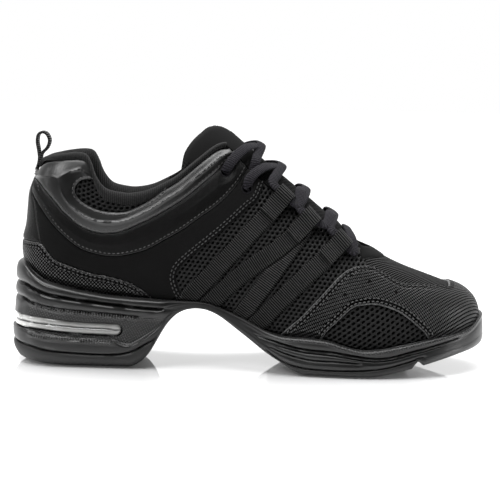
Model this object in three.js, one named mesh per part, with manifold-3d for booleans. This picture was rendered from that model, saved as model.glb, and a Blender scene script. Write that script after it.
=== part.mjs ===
// Dance practice shoe, right foot: a low lace-up sneaker on a split, ribbed sole with a raised heel.
// Millimetres, +Z up, +X from heel to toe, -Y the outer side of the foot.
// Tables hold lengths as shares: x of shoeLength, z of shoeHeight, widths of ballWidth.

import * as THREE from 'three';
import { mergeVertices } from 'three/addons/utils/BufferGeometryUtils.js';
import Module from 'manifold-3d';

const wasm = await Module();
wasm.setup();

// Driving dimensions
const shoeLength = 268; // rear of the heel to the tip of the toe
const shoeHeight = 140; // floor to the tip of the tongue
const ballWidth = 93; // sole across the ball of the foot
const upperWall = 2.2; // mesh, foam and lining of the upper
const overlayWall = 1.1; // synthetic leather laid over the mesh
const gap = 0.3; // clearance between pieces that meet
const rimWall = 1.2; // top edge of the sole around the upper
const tongueWall = 4.5;
const liningWall = 4.5; // padded lining of the collar
const insoleWall = 3;
const cellDepth = 9; // how far the clear cell reaches into the heel
const cellRecess = 0.8; // how far its face lies inside the ribs
const webbingWidth = 9.8;
const webbingWall = 1.2;
const webbingFoldRadius = 3.5; // outside of the fold that holds the lace
const laceWidth = 5;
const laceThickness = 2.6;
const eyeletRadius = 2.2;
const pullTapeWidth = 10;
const pullTapeWall = 1.5;

const alongX = (share) => share * shoeLength;
const alongZ = (share) => share * shoeHeight;
const across = (share) => share * ballWidth;

// The heel's flat spot is the origin of the part.
const restX = alongX(0.155);

// Upper: a row for each frontal section. seat is where it stands on the sole, belly where it is widest,
// ridge its top over the foot, lateral and medial its half widths, power its squareness (2 is an ellipse).
const sections = [
  { x: 0.019, seat: 0.281, belly: 0.407, ridge: 1.071, lateral: 0.323, medial: 0.323, power: 2 },
  { x: 0.12, seat: 0.273, belly: 0.4, ridge: 1.071, lateral: 0.328, medial: 0.328, power: 2 },
  { x: 0.224, seat: 0.266, belly: 0.386, ridge: 1.071, lateral: 0.333, medial: 0.328, power: 2 },
  { x: 0.336, seat: 0.264, belly: 0.357, ridge: 1.068, lateral: 0.333, medial: 0.317, power: 1.95 },
  { x: 0.392, seat: 0.2605, belly: 0.336, ridge: 1.043, lateral: 0.339, medial: 0.312, power: 1.9 },
  { x: 0.44, seat: 0.239, belly: 0.314, ridge: 0.986, lateral: 0.349, medial: 0.317, power: 1.85 },
  { x: 0.485, seat: 0.191, belly: 0.286, ridge: 0.916, lateral: 0.371, medial: 0.333, power: 1.8 },
  { x: 0.541, seat: 0.136, belly: 0.243, ridge: 0.827, lateral: 0.409, medial: 0.366, power: 1.8 },
  { x: 0.597, seat: 0.1, belly: 0.207, ridge: 0.743, lateral: 0.441, medial: 0.409, power: 1.8 },
  { x: 0.653, seat: 0.079, belly: 0.186, ridge: 0.656, lateral: 0.468, medial: 0.441, power: 1.85 },
  { x: 0.709, seat: 0.064, belly: 0.171, ridge: 0.564, lateral: 0.478, medial: 0.457, power: 1.9 },
  { x: 0.746, seat: 0.061, belly: 0.164, ridge: 0.5, lateral: 0.478, medial: 0.462, power: 1.95 },
  { x: 0.784, seat: 0.064, belly: 0.161, ridge: 0.451, lateral: 0.473, medial: 0.462, power: 2 },
  { x: 0.828, seat: 0.079, belly: 0.164, ridge: 0.411, lateral: 0.457, medial: 0.457, power: 2.05 },
  { x: 0.881, seat: 0.104, belly: 0.179, ridge: 0.374, lateral: 0.457, medial: 0.457, power: 2.1 },
  { x: 0.929, seat: 0.129, belly: 0.193, ridge: 0.34, lateral: 0.457, medial: 0.457, power: 2.15 },
  { x: 0.955, seat: 0.143, belly: 0.196, ridge: 0.319, lateral: 0.457, medial: 0.457, power: 2.2 },
  { x: 0.974, seat: 0.15, belly: 0.2, ridge: 0.29, lateral: 0.457, medial: 0.457, power: 2.2 },
  { x: 0.985, seat: 0.154, belly: 0.2, ridge: 0.259, lateral: 0.457, medial: 0.457, power: 2.2 },
  { x: 0.992, seat: 0.157, belly: 0.2, ridge: 0.204, lateral: 0.457, medial: 0.457, power: 2.2 },
];
const heelEndX = alongX(sections[0].x);
const toeEndX = alongX(sections[sections.length - 1].x);
const heelRoundX = alongX(0.134); // where the round of the heel meets the straight sides
const toeRoundX = alongX(0.802); // where the round of the toe begins
const heelSquareness = 2.2;
const toeSquareness = 2;
const seatTuck = 0.1; // how far the upper turns in under its belly

// Sideways curve of the foot's middle line, towards the big toe.
const middleLine = [
  { x: 0, shift: 0 },
  { x: 0.56, shift: 0 },
  { x: 0.746, shift: -0.011 },
  { x: 0.828, shift: 0.016 },
  { x: 1, shift: 0.075 },
];

// How far the back of the heel leans forward at each height, as a share of shoeLength.
const heelCurve = [
  { z: 0.25, lean: 0.0095 },
  { z: 0.36, lean: 0.0056 },
  { z: 0.4, lean: 0.0037 },
  { z: 0.49, lean: 0 },
  { z: 0.52, lean: 0.0075 },
  { z: 0.55, lean: 0.011 },
  { z: 0.62, lean: 0.015 },
  { z: 0.665, lean: 0.019 },
  { z: 0.735, lean: 0.03 },
  { z: 0.785, lean: 0.039 },
  { z: 0.815, lean: 0.052 },
  { z: 0.86, lean: 0.067 },
  { z: 1.071, lean: 0.09 },
];

// Side view of the sole: its underside and the lip around the upper.
const soleProfile = [
  { x: 0, bottom: 0.014, lip: 0.411 },
  { x: 0.03, bottom: -0.004, lip: 0.402 },
  { x: 0.055, bottom: -0.004, lip: 0.365 },
  { x: 0.08, bottom: -0.004, lip: 0.337 },
  { x: 0.1, bottom: -0.004, lip: 0.327 },
  { x: 0.13, bottom: -0.004, lip: 0.313 },
  { x: 0.165, bottom: -0.004, lip: 0.3 },
  { x: 0.21, bottom: -0.004, lip: 0.287 },
  { x: 0.25, bottom: -0.004, lip: 0.281 },
  { x: 0.27, bottom: 0.022, lip: 0.279 },
  { x: 0.305, bottom: 0.085, lip: 0.275 },
  { x: 0.335, bottom: 0.157, lip: 0.272 },
  { x: 0.36, bottom: 0.213, lip: 0.27 },
  { x: 0.38, bottom: 0.238, lip: 0.269 },
  { x: 0.4, bottom: 0.245, lip: 0.2675 },
  { x: 0.42, bottom: 0.237, lip: 0.262 },
  { x: 0.44, bottom: 0.22, lip: 0.249 },
  { x: 0.47, bottom: 0.178, lip: 0.227 },
  { x: 0.505, bottom: 0.129, lip: 0.197 },
  { x: 0.54, bottom: 0.078, lip: 0.166 },
  { x: 0.58, bottom: 0.03, lip: 0.15 },
  { x: 0.615, bottom: -0.002, lip: 0.149 },
  { x: 0.665, bottom: -0.002, lip: 0.142 },
  { x: 0.695, bottom: -0.002, lip: 0.124 },
  { x: 0.74, bottom: -0.002, lip: 0.107 },
  { x: 0.765, bottom: 0.002, lip: 0.11 },
  { x: 0.815, bottom: 0.019, lip: 0.125 },
  { x: 0.865, bottom: 0.043, lip: 0.144 },
  { x: 0.92, bottom: 0.068, lip: 0.16 },
  { x: 0.955, bottom: 0.082, lip: 0.171 },
  { x: 0.975, bottom: 0.087, lip: 0.19 },
  { x: 0.99, bottom: 0.091, lip: 0.216 },
  { x: 1, bottom: 0.093, lip: 0.229 },
];

// Side wall of the sole from the floor (height 0) to the lip (height 1): how far it stands outside the
// upper, in shares of ballWidth. rear is added at the back of the heel, and a dip is a groove.
const soleWall = [
  { height: 0, heel: -0.038, rear: -0.016, fore: -0.027 },
  { height: 0.05, heel: 0.014, rear: 0.008, fore: 0.012 },
  { height: 0.13, heel: 0.036, rear: 0.019, fore: 0.029 },
  { height: 0.175, heel: 0.038, rear: 0.021, fore: 0.032 },
  { height: 0.195, heel: 0.028, rear: 0.017, fore: 0.026 },
  { height: 0.22, heel: 0.039, rear: 0.021, fore: 0.034 },
  { height: 0.325, heel: 0.039, rear: 0.022, fore: 0.035 },
  { height: 0.345, heel: 0.028, rear: 0.018, fore: 0.034 },
  { height: 0.375, heel: 0.035, rear: 0.02, fore: 0.034 },
  { height: 0.56, heel: 0.035, rear: 0.013, fore: 0.033 },
  { height: 0.69, heel: 0.036, rear: 0.009, fore: 0.031 },
  { height: 0.725, heel: 0.024, rear: 0.007, fore: 0.024 },
  { height: 0.76, heel: 0.034, rear: 0.006, fore: 0.029 },
  { height: 0.81, heel: 0.035, rear: 0.005, fore: 0.028 },
  { height: 0.84, heel: 0.024, rear: 0.004, fore: 0.021 },
  { height: 0.87, heel: 0.033, rear: 0.003, fore: 0.026 },
  { height: 0.96, heel: 0.029, rear: 0.001, fore: 0.024 },
  { height: 1, heel: 0.016, rear: 0, fore: 0.016 },
];
const heelBlockX = alongX(0.3); // the heel's ribs fade out from here
const foreSoleX = alongX(0.5); // and the forefoot's form is full from here
const fullWall = 16; // a wall lower than this has its ribs and rounding scaled down

// Lines of the side view, each from heel to toe.
const collarLine = [
  { x: 0.06, z: 0.812 },
  { x: 0.085, z: 0.828 },
  { x: 0.112, z: 0.836 },
  { x: 0.142, z: 0.842 },
  { x: 0.16, z: 0.834 },
  { x: 0.171, z: 0.8 },
  { x: 0.181, z: 0.75 },
  { x: 0.2, z: 0.705 },
  { x: 0.228, z: 0.69 },
  { x: 0.254, z: 0.687 },
  { x: 0.287, z: 0.7 },
  { x: 0.317, z: 0.727 },
  { x: 0.347, z: 0.761 },
  { x: 0.384, z: 0.82 },
  { x: 0.418, z: 0.873 },
  { x: 0.436, z: 0.891 },
  { x: 0.451, z: 0.894 },
];
const bandSeam = [
  { x: -0.03, z: 0.79 },
  { x: 0.05, z: 0.735 },
  { x: 0.078, z: 0.69 },
  { x: 0.1, z: 0.645 },
  { x: 0.12, z: 0.603 },
  { x: 0.15, z: 0.558 },
  { x: 0.18, z: 0.536 },
  { x: 0.205, z: 0.532 },
  { x: 0.235, z: 0.54 },
  { x: 0.276, z: 0.575 },
  { x: 0.313, z: 0.612 },
  { x: 0.362, z: 0.672 },
  { x: 0.403, z: 0.738 },
  { x: 0.433, z: 0.789 },
  { x: 0.47, z: 0.86 },
];
const quarterSeam = [
  { x: -0.03, z: 0.76 },
  { x: 0.037, z: 0.71 },
  { x: 0.052, z: 0.667 },
  { x: 0.078, z: 0.598 },
  { x: 0.1, z: 0.551 },
  { x: 0.123, z: 0.511 },
  { x: 0.15, z: 0.473 },
  { x: 0.183, z: 0.452 },
  { x: 0.22, z: 0.443 },
  { x: 0.261, z: 0.456 },
  { x: 0.295, z: 0.479 },
  { x: 0.328, z: 0.516 },
  { x: 0.358, z: 0.549 },
  { x: 0.396, z: 0.602 },
  { x: 0.437, z: 0.661 },
  { x: 0.47, z: 0.729 },
  { x: 0.489, z: 0.79 },
  { x: 0.505, z: 0.86 },
];
const counterTop = [
  { x: -0.03, z: 0.487 },
  { x: 0.05, z: 0.487 },
  { x: 0.071, z: 0.482 },
  { x: 0.086, z: 0.449 },
  { x: 0.101, z: 0.422 },
  { x: 0.127, z: 0.403 },
  { x: 0.153, z: 0.386 },
  { x: 0.179, z: 0.373 },
  { x: 0.213, z: 0.362 },
  { x: 0.25, z: 0.343 },
  { x: 0.272, z: 0.323 },
  { x: 0.291, z: 0.298 },
  { x: 0.302, z: 0.278 },
  { x: 0.31, z: 0.25 },
];
// Front edge of the plain quarter, from the sole up to the throat.
const quarterFront = [
  { x: 0.385, z: 0.22 },
  { x: 0.372, z: 0.286 },
  { x: 0.361, z: 0.307 },
  { x: 0.351, z: 0.353 },
  { x: 0.351, z: 0.376 },
  { x: 0.358, z: 0.407 },
  { x: 0.388, z: 0.461 },
  { x: 0.444, z: 0.551 },
  { x: 0.496, z: 0.644 },
  { x: 0.515, z: 0.676 },
  { x: 0.53, z: 0.753 },
  { x: 0.54, z: 0.83 },
];
// Round-ended opening in the collar leather, where coarse mesh shows.
const collarWindow = [
  { x: 0.175, z: 0.742 },
  { x: 0.153, z: 0.739 },
  { x: 0.142, z: 0.721 },
  { x: 0.138, z: 0.694 },
  { x: 0.146, z: 0.666 },
  { x: 0.164, z: 0.641 },
  { x: 0.19, z: 0.622 },
  { x: 0.216, z: 0.615 },
  { x: 0.246, z: 0.62 },
  { x: 0.276, z: 0.646 },
  { x: 0.299, z: 0.674 },
  { x: 0.317, z: 0.706 },
  { x: 0.33, z: 0.76 },
];
// Upper edge of the toe guard, from the sole to the middle of the toe.
const guardTop = [
  { x: 0.56, z: 0.1 },
  { x: 0.571, z: 0.158 },
  { x: 0.612, z: 0.234 },
  { x: 0.66, z: 0.336 },
  { x: 0.69, z: 0.396 },
  { x: 0.716, z: 0.422 },
  { x: 0.739, z: 0.426 },
  { x: 0.761, z: 0.417 },
  { x: 0.78, z: 0.395 },
  { x: 0.806, z: 0.365 },
  { x: 0.825, z: 0.354 },
  { x: 0.858, z: 0.349 },
  { x: 0.899, z: 0.339 },
  { x: 0.916, z: 0.331 },
  { x: 0.926, z: 0.345 },
  { x: 0.93, z: 0.4 },
];
const guardWindow = [
  { x: 0.64, z: 0.06 },
  { x: 0.657, z: 0.159 },
  { x: 0.683, z: 0.215 },
  { x: 0.713, z: 0.269 },
  { x: 0.735, z: 0.281 },
  { x: 0.761, z: 0.284 },
  { x: 0.791, z: 0.269 },
  { x: 0.817, z: 0.246 },
  { x: 0.843, z: 0.209 },
  { x: 0.869, z: 0.161 },
  { x: 0.885, z: 0.09 },
];
// Half width of the throat seen from above, as a share of ballWidth.
const throatShape = [
  { x: 0.33, half: 0.2 },
  { x: 0.44, half: 0.155 },
  { x: 0.505, half: 0.188 },
  { x: 0.56, half: 0.21 },
  { x: 0.616, half: 0.22 },
  { x: 0.672, half: 0.222 },
  { x: 0.702, half: 0.205 },
  { x: 0.724, half: 0.165 },
  { x: 0.743, half: 0.1 },
  { x: 0.752, half: 0.04 },
  { x: 0.7535, half: 0 },
];
const throatGuardShape = [
  { x: 0.73, half: 0.29 },
  { x: 0.74, half: 0.26 },
  { x: 0.768, half: 0.165 },
  { x: 0.784, half: 0.08 },
  { x: 0.788, half: 0 },
];
// Backstay seen from behind.
const backstayShape = [
  { z: 0.745, half: 0.09 },
  { z: 0.69, half: 0.13 },
  { z: 0.645, half: 0.19 },
  { z: 0.61, half: 0.215 },
  { z: 0.565, half: 0.237 },
  { z: 0.527, half: 0.258 },
  { z: 0.46, half: 0.29 },
];
const backstayFrontX = alongX(0.13);

// Tip of the tongue in the side view, cut square to the shin.
const tongueTip = [
  { x: 0.33, z: 0.79 },
  { x: 0.362, z: 0.862 },
  { x: 0.377, z: 0.905 },
  { x: 0.4, z: 0.95 },
  { x: 0.424, z: 0.995 },
  { x: 0.448, z: 1.02 },
];
const tongueHalfWidth = across(0.28);
const tongueFrontX = alongX(0.79);
const tongueLowZ = alongZ(0.3);
const liningFrontX = alongX(0.36);
const liningDepth = alongZ(0.22); // how far the padding reaches down from the collar

// Clear cell around the heel, in the side view.
const cellTop = [
  { x: -0.03, z: 0.2 },
  { x: 0.075, z: 0.193 },
  { x: 0.15, z: 0.182 },
  { x: 0.228, z: 0.179 },
];
const cellBottom = [
  { x: -0.03, z: 0.142 },
  { x: 0.075, z: 0.135 },
  { x: 0.15, z: 0.126 },
  { x: 0.228, z: 0.122 },
];
// Seams between the midsole and the two treads, in the side view.
const heelTreadTop = [
  { x: -0.03, z: 0.089 },
  { x: 0.02, z: 0.081 },
  { x: 0.055, z: 0.071 },
  { x: 0.1, z: 0.06 },
  { x: 0.175, z: 0.053 },
  { x: 0.232, z: 0.055 },
  { x: 0.262, z: 0.068 },
  { x: 0.285, z: 0.09 },
  { x: 0.31, z: 0.12 },
];
const foreTreadTop = [
  { x: 0.545, z: 0.09 },
  { x: 0.575, z: 0.052 },
  { x: 0.612, z: 0.031 },
  { x: 0.675, z: 0.026 },
  { x: 0.74, z: 0.029 },
  { x: 0.785, z: 0.041 },
  { x: 0.82, z: 0.057 },
  { x: 0.858, z: 0.077 },
];
const flexNotch = { x: 0.866, halfWidth: 0.008, depth: 0.022 };

// Webbing straps on each side: the middle lines of their legs in the side view, from under the sole's lip
// up to the fold that holds the lace.
const straps = [
  { name: '1', legs: [[{ x: 0.37, z: 0.27 }, { x: 0.455, z: 0.445 }, { x: 0.567, z: 0.685 }]] },
  {
    name: '2',
    legs: [
      [{ x: 0.412, z: 0.25 }, { x: 0.49, z: 0.388 }, { x: 0.568, z: 0.5 }, { x: 0.623, z: 0.599 }],
      [{ x: 0.484, z: 0.21 }, { x: 0.551, z: 0.396 }, { x: 0.623, z: 0.599 }],
    ],
  },
  { name: '3', legs: [[{ x: 0.516, z: 0.185 }, { x: 0.6, z: 0.352 }, { x: 0.688, z: 0.513 }]] },
];
// Places of the punched eyelets above the straps, in the side view.
const eyelets = [{ x: 0.492, z: 0.716 }, { x: 0.447, z: 0.78 }];

// Routes of the lace from its hold on one side over the ridge to its hold on the other, from the toe
// upward. lift is the height of its middle over the upper's outside.
const laceRoutes = [
  [
    { x: 0.664, z: 0.553, lift: 3.2 },
    { x: 0.668, z: 0.589, lift: 1.8 },
    { x: 0.677, z: 1, lift: -0.6 },
    { x: 0.664, z: 0.614, lift: 1.8 },
    { x: 0.652, z: 0.569, lift: 3.2 },
  ],
  [
    { x: 0.599, z: 0.634, lift: 3.2 },
    { x: 0.608, z: 0.677, lift: 1.8 },
    { x: 0.616, z: 1, lift: -0.4 },
    { x: 0.601, z: 0.703, lift: 1.8 },
    { x: 0.594, z: 0.646, lift: 3.2 },
  ],
  [
    { x: 0.543, z: 0.729, lift: 3.2 },
    { x: 0.552, z: 0.768, lift: 1.8 },
    { x: 0.56, z: 1, lift: 1.2 },
    { x: 0.519, z: 0.789, lift: 2.4 },
    { x: 0.495, z: 0.746, lift: 3.2 },
  ],
  [
    { x: 0.507, z: 0.818, lift: 2.2 },
    { x: 0.51, z: 0.84, lift: 1.4 },
    { x: 0.512, z: 1, lift: 2.4 },
    { x: 0.481, z: 0.862, lift: 2.6 },
    { x: 0.455, z: 0.812, lift: 3.2 },
  ],
];
const laceBarRoute = [
  { x: 0.72, z: 0.45, lift: 3 },
  { x: 0.7165, z: 0.492, lift: 2.4 },
  { x: 0.709, z: 0.53, lift: 1.8 },
  { x: 0.707, z: 1, lift: -0.7 },
  { x: 0.709, z: 0.53, lift: 1.8 },
  { x: 0.7165, z: 0.492, lift: 2.4 },
  { x: 0.72, z: 0.45, lift: 3 },
];

// Pull loop in the side view: middle line of the tape, up the back and over, then down to its neck.
const pullTapeUp = [
  { x: 0.0468, z: 0.765 },
  { x: 0.0512, z: 0.79 },
  { x: 0.0528, z: 0.815 },
  { x: 0.0508, z: 0.845 },
  { x: 0.0478, z: 0.88 },
  { x: 0.0505, z: 0.908 },
  { x: 0.0585, z: 0.917 },
];
const pullTapeDown = [
  { x: 0.0565, z: 0.917 },
  { x: 0.067, z: 0.911 },
  { x: 0.0735, z: 0.885 },
  { x: 0.069, z: 0.855 },
  { x: 0.0545, z: 0.83 },
];

// Smooth curve through the rows of a table that never overshoots them.
function curveOf(rows, from, to, fromSize, toSize) {
  const xs = rows.map((row) => row[from] * fromSize);
  const ys = rows.map((row) => row[to] * toSize);
  const slopes = xs.slice(1).map((x, i) => (ys[i + 1] - ys[i]) / (x - xs[i]));
  const tangents = xs.map((_, i) => {
    if (i === 0) return slopes[0];
    if (i === xs.length - 1) return slopes[i - 1];
    const before = slopes[i - 1];
    const after = slopes[i];
    if (before * after <= 0) return 0;
    const stepBefore = xs[i] - xs[i - 1];
    const stepAfter = xs[i + 1] - xs[i];
    const weightBefore = 2 * stepAfter + stepBefore;
    const weightAfter = stepAfter + 2 * stepBefore;
    return (weightBefore + weightAfter) / (weightBefore / before + weightAfter / after);
  });
  return (value) => {
    const v = Math.min(Math.max(value, xs[0]), xs[xs.length - 1]);
    let i = 0;
    while (i < xs.length - 2 && v > xs[i + 1]) i += 1;
    const step = xs[i + 1] - xs[i];
    const t = (v - xs[i]) / step;
    const start = ys[i] * (1 + 2 * t) * (1 - t) ** 2 + tangents[i] * step * t * (1 - t) ** 2;
    const end = ys[i + 1] * t * t * (3 - 2 * t) + tangents[i + 1] * step * t * t * (t - 1);
    return start + end;
  };
}

const sectionCurve = (column, size) => curveOf(sections, 'x', column, shoeLength, size);
const seatZ = sectionCurve('seat', shoeHeight);
const bellyZ = sectionCurve('belly', shoeHeight);
const ridgeZ = sectionCurve('ridge', shoeHeight);
const lateralHalf = sectionCurve('lateral', ballWidth);
const medialHalf = sectionCurve('medial', ballWidth);
const squareness = sectionCurve('power', 1);
const middleY = curveOf(middleLine, 'x', 'shift', shoeLength, ballWidth);
const heelLean = curveOf(heelCurve, 'z', 'lean', shoeHeight, shoeLength);
const bottomCurve = curveOf(soleProfile, 'x', 'bottom', shoeLength, shoeHeight);
const bottomZ = (x) => Math.max(0, bottomCurve(x));
const lipZ = curveOf(soleProfile, 'x', 'lip', shoeLength, shoeHeight);

// Share of the full width that is left towards the round ends of the heel and the toe.
function endRound(x) {
  if (x < heelRoundX) {
    const out = Math.min((heelRoundX - x) / (heelRoundX - heelEndX), 1);
    return (1 - out ** heelSquareness) ** (1 / heelSquareness);
  }
  if (x > toeRoundX) {
    const out = Math.min((x - toeRoundX) / (toeEndX - toeRoundX), 1);
    return (1 - out ** toeSquareness) ** (1 / toeSquareness);
  }
  return 1;
}

const quarterTurn = Math.PI / 2;
const seatTurn = quarterTurn + 1; // the turn that reaches the seat

// Point of the upper's outside. turn is 0 at the ridge, a quarter turn at the belly and seatTurn at the
// seat, and negative on the lateral side.
function formPoint(x, turn) {
  const side = Math.sign(turn) || 1;
  const fromRidge = Math.abs(turn);
  const half = (side < 0 ? lateralHalf(x) : medialHalf(x)) * endRound(x);
  const rise = Math.max(quarterTurn - fromRidge, 0);
  const under = Math.max(fromRidge - quarterTurn, 0);
  const bend = 2 / squareness(x);
  const y = half * (under > 0 ? 1 - seatTuck * Math.min(under, 1) ** 2 : Math.cos(rise) ** bend);
  const z = under > 0
    ? bellyZ(x) - (bellyZ(x) - seatZ(x)) * under
    : bellyZ(x) + (ridgeZ(x) - bellyZ(x)) * Math.sin(rise) ** bend;
  const lean = x < heelRoundX ? heelLean(z) * ((heelRoundX - x) / (heelRoundX - heelEndX)) ** 1.5 : 0;
  return new THREE.Vector3(x + lean, middleY(x) + (fromRidge === 0 ? 0 : side * y), z);
}

// The turn at which the section at x is as high as z.
function turnAt(x, z, side) {
  const belly = bellyZ(x);
  if (z < belly) return side * (quarterTurn + (belly - z) / (belly - seatZ(x)));
  const share = Math.min((z - belly) / (ridgeZ(x) - belly), 1);
  return side * (quarterTurn - Math.asin(share ** (squareness(x) / 2)));
}

const tiny = 1e-6;
const isStem = (x) => x <= heelEndX + tiny || x >= toeEndX - tiny;

// Outward direction of the upper's outside.
function formNormal(x, turn) {
  const small = 1e-3;
  if (isStem(x)) {
    const upward = formPoint(x, Math.abs(turn)).sub(formPoint(x, Math.abs(turn) + small));
    const outward = x < toeEndX / 2 ? -1 : 1;
    return new THREE.Vector3(outward * upward.z, 0, -outward * upward.x).normalize();
  }
  const alongTurn = formPoint(x, turn + small).sub(formPoint(x, turn - small));
  const span = toeEndX - heelEndX;
  const angle = Math.acos(1 - (2 * (x - heelEndX)) / span);
  const stationAt = (a) => heelEndX + (span * (1 - Math.cos(a))) / 2;
  const ahead = formPoint(stationAt(Math.min(angle + small, Math.PI)), turn);
  const behind = formPoint(stationAt(Math.max(angle - small, 0)), turn);
  const normal = ahead.sub(behind).cross(alongTurn).normalize();
  const core = new THREE.Vector3(x, middleY(x), bellyZ(x));
  const outward = formPoint(x, turn).sub(core);
  outward.x = 0;
  return normal.multiplyScalar(normal.dot(outward) < 0 ? -1 : 1);
}

function grownPoint(x, turn, offset) {
  const point = formPoint(x, turn);
  return offset === 0 ? point : point.addScaledVector(formNormal(x, turn), offset);
}

// Point over the upper's side at a place of the side view.
const sidePoint = (x, z, side, offset) => grownPoint(x, turnAt(x, z, side), offset);

// Stations along the shoe, close together round the heel and the toe.
function stationsOf(heelSteps, middleXs, toeSteps) {
  const heel = Array.from({ length: heelSteps }, (_, i) => {
    return heelEndX + (heelRoundX - heelEndX) * (1 - Math.cos((i / heelSteps) * quarterTurn));
  });
  const toe = Array.from({ length: toeSteps + 1 }, (_, i) => {
    return toeRoundX + (toeEndX - toeRoundX) * Math.sin((i / toeSteps) * quarterTurn);
  });
  return [...heel, ...middleXs, ...toe];
}

function evenSteps(from, to, count) {
  return Array.from({ length: count }, (_, i) => from + ((to - from) * i) / count);
}

// Closed solid through rings of equally many points, one ring for each station. Each ring is a closed
// polygon, and the first and the last lie flat on the middle line.
function solidFromRings(rings) {
  const count = rings[0].length;
  const positions = rings.flat().flatMap((p) => [p.x, p.y, p.z]);
  const index = [];
  for (let i = 0; i + 1 < rings.length; i += 1) {
    for (let j = 0; j < count; j += 1) {
      const k = (j + 1) % count;
      const [a, b, c, d] = [i * count + j, i * count + k, (i + 1) * count + k, (i + 1) * count + j];
      index.push(a, b, c, a, c, d);
    }
  }
  const geometry = new THREE.BufferGeometry();
  geometry.setAttribute('position', new THREE.Float32BufferAttribute(positions, 3));
  geometry.setIndex(index);
  return solidOf(geometry);
}

// Manifold solid of a closed geometry, turned inside out if its faces point in.
const weldDistance = 1e-4;
function solidOf(geometry) {
  const bare = geometry.clone();
  bare.deleteAttribute('normal');
  bare.deleteAttribute('uv');
  const merged = mergeVertices(bare, weldDistance);
  const ids = merged.index.array;
  const triangles = [];
  for (let i = 0; i < ids.length; i += 3) {
    const [a, b, c] = [ids[i], ids[i + 1], ids[i + 2]];
    if (a !== b && b !== c && c !== a) triangles.push(a, b, c);
  }
  const vertProperties = new Float32Array(merged.attributes.position.array);
  const make = (list) => {
    const triVerts = new Uint32Array(list);
    return new wasm.Manifold(new wasm.Mesh({ numProp: 3, vertProperties, triVerts }));
  };
  const solid = make(triangles);
  if (solid.volume() > 0) return solid;
  const turned = [];
  for (let i = 0; i < triangles.length; i += 3) {
    turned.push(triangles[i], triangles[i + 2], triangles[i + 1]);
  }
  return make(turned);
}

function geometryOf(solid) {
  const mesh = solid.getMesh();
  const geometry = new THREE.BufferGeometry();
  geometry.setAttribute('position', new THREE.Float32BufferAttribute(mesh.vertProperties, 3));
  geometry.setIndex(Array.from(mesh.triVerts));
  geometry.computeVertexNormals();
  return geometry;
}

const uprightSteps = 6; // facets from the belly to the ridge
const formTurns = [
  ...Array.from({ length: uprightSteps }, (_, i) => (quarterTurn * i) / uprightSteps),
  quarterTurn,
  quarterTurn + 0.5,
  seatTurn,
];
const sectionTurns = [...formTurns.slice(1).reverse().map((turn) => -turn), ...formTurns];
const formStations = stationsOf(4, evenSteps(heelRoundX, toeRoundX, 10), 5);

// The upper's form grown by offset, standing drop below its seat.
function form(offset, drop) {
  const ringAt = (x) => {
    const points = sectionTurns.map((turn) => grownPoint(x, isStem(x) ? Math.abs(turn) : turn, offset));
    const ends = [points[0], points[points.length - 1]];
    ends.forEach((end) => end.setZ(seatZ(x) - drop));
    return points;
  };
  return solidFromRings(formStations.map(ringAt));
}

// Prism through a closed outline. plane 'side' runs it along Y, 'top' along Z and 'back' along X.
const farAway = 2 * shoeLength;
function prism(outline, plane, from = -farAway, to = farAway) {
  const shape = new THREE.Shape(outline.map(([u, v]) => new THREE.Vector2(u, v)));
  const geometry = new THREE.ExtrudeGeometry(shape, { depth: to - from, bevelEnabled: false });
  geometry.translate(0, 0, from);
  const [toX, toY, toZ] = [0, 1, 2].map((axis) => new THREE.Vector3().setComponent(axis, 1));
  if (plane === 'side') geometry.applyMatrix4(new THREE.Matrix4().makeBasis(toX, toZ, toY));
  if (plane === 'back') geometry.applyMatrix4(new THREE.Matrix4().makeBasis(toY, toZ, toX));
  return solidOf(geometry);
}

const pointsOf = (rows) => rows.map((row) => [alongX(row.x), alongZ(row.z)]);
const raised = (rows, lift) => pointsOf(rows).map(([x, z]) => [x, z + lift]);
const highZ = 2 * shoeHeight;
const lowZ = -shoeHeight;

// Everything above, or below, a line of the side view.
function above(rows, lift = 0) {
  const line = raised(rows, lift);
  const [first, last] = [line[0], line[line.length - 1]];
  return prism([...line, [last[0], highZ], [first[0], highZ]], 'side');
}
function below(rows, lift = 0) {
  const line = raised(rows, lift);
  const [first, last] = [line[0], line[line.length - 1]];
  return prism([...line, [last[0], lowZ], [first[0], lowZ]], 'side');
}

const belowLine = (line) => prism([[-farAway, line[0][1]], ...line, [farAway, line[line.length - 1][1]],
  [farAway, lowZ], [-farAway, lowZ]], 'side');

// The same outline drawn closer together or further apart by moving each point along its corner.
function widened(outline, by) {
  const count = outline.length;
  let area = 0;
  outline.forEach(([x, y], i) => {
    const [nextX, nextY] = outline[(i + 1) % count];
    area += x * nextY - nextX * y;
  });
  const sense = Math.sign(area);
  return outline.map(([x, y], i) => {
    const [px, py] = outline[(i + count - 1) % count];
    const [nx, ny] = outline[(i + 1) % count];
    const before = new THREE.Vector2(y - py, px - x).normalize();
    const after = new THREE.Vector2(ny - y, x - nx).normalize();
    const corner = before.add(after).normalize();
    return [x + sense * by * corner.x, y + sense * by * corner.y];
  });
}

const box = (x0, x1, y0, y1, z0, z1) => {
  const geometry = new THREE.BoxGeometry(x1 - x0, y1 - y0, z1 - z0);
  return solidOf(geometry.translate((x0 + x1) / 2, (y0 + y1) / 2, (z0 + z1) / 2));
};
const sideHalf = (side) => (side < 0
  ? box(-farAway, farAway, -farAway, 0, lowZ, highZ)
  : box(-farAway, farAway, 0, farAway, lowZ, highZ));

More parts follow.
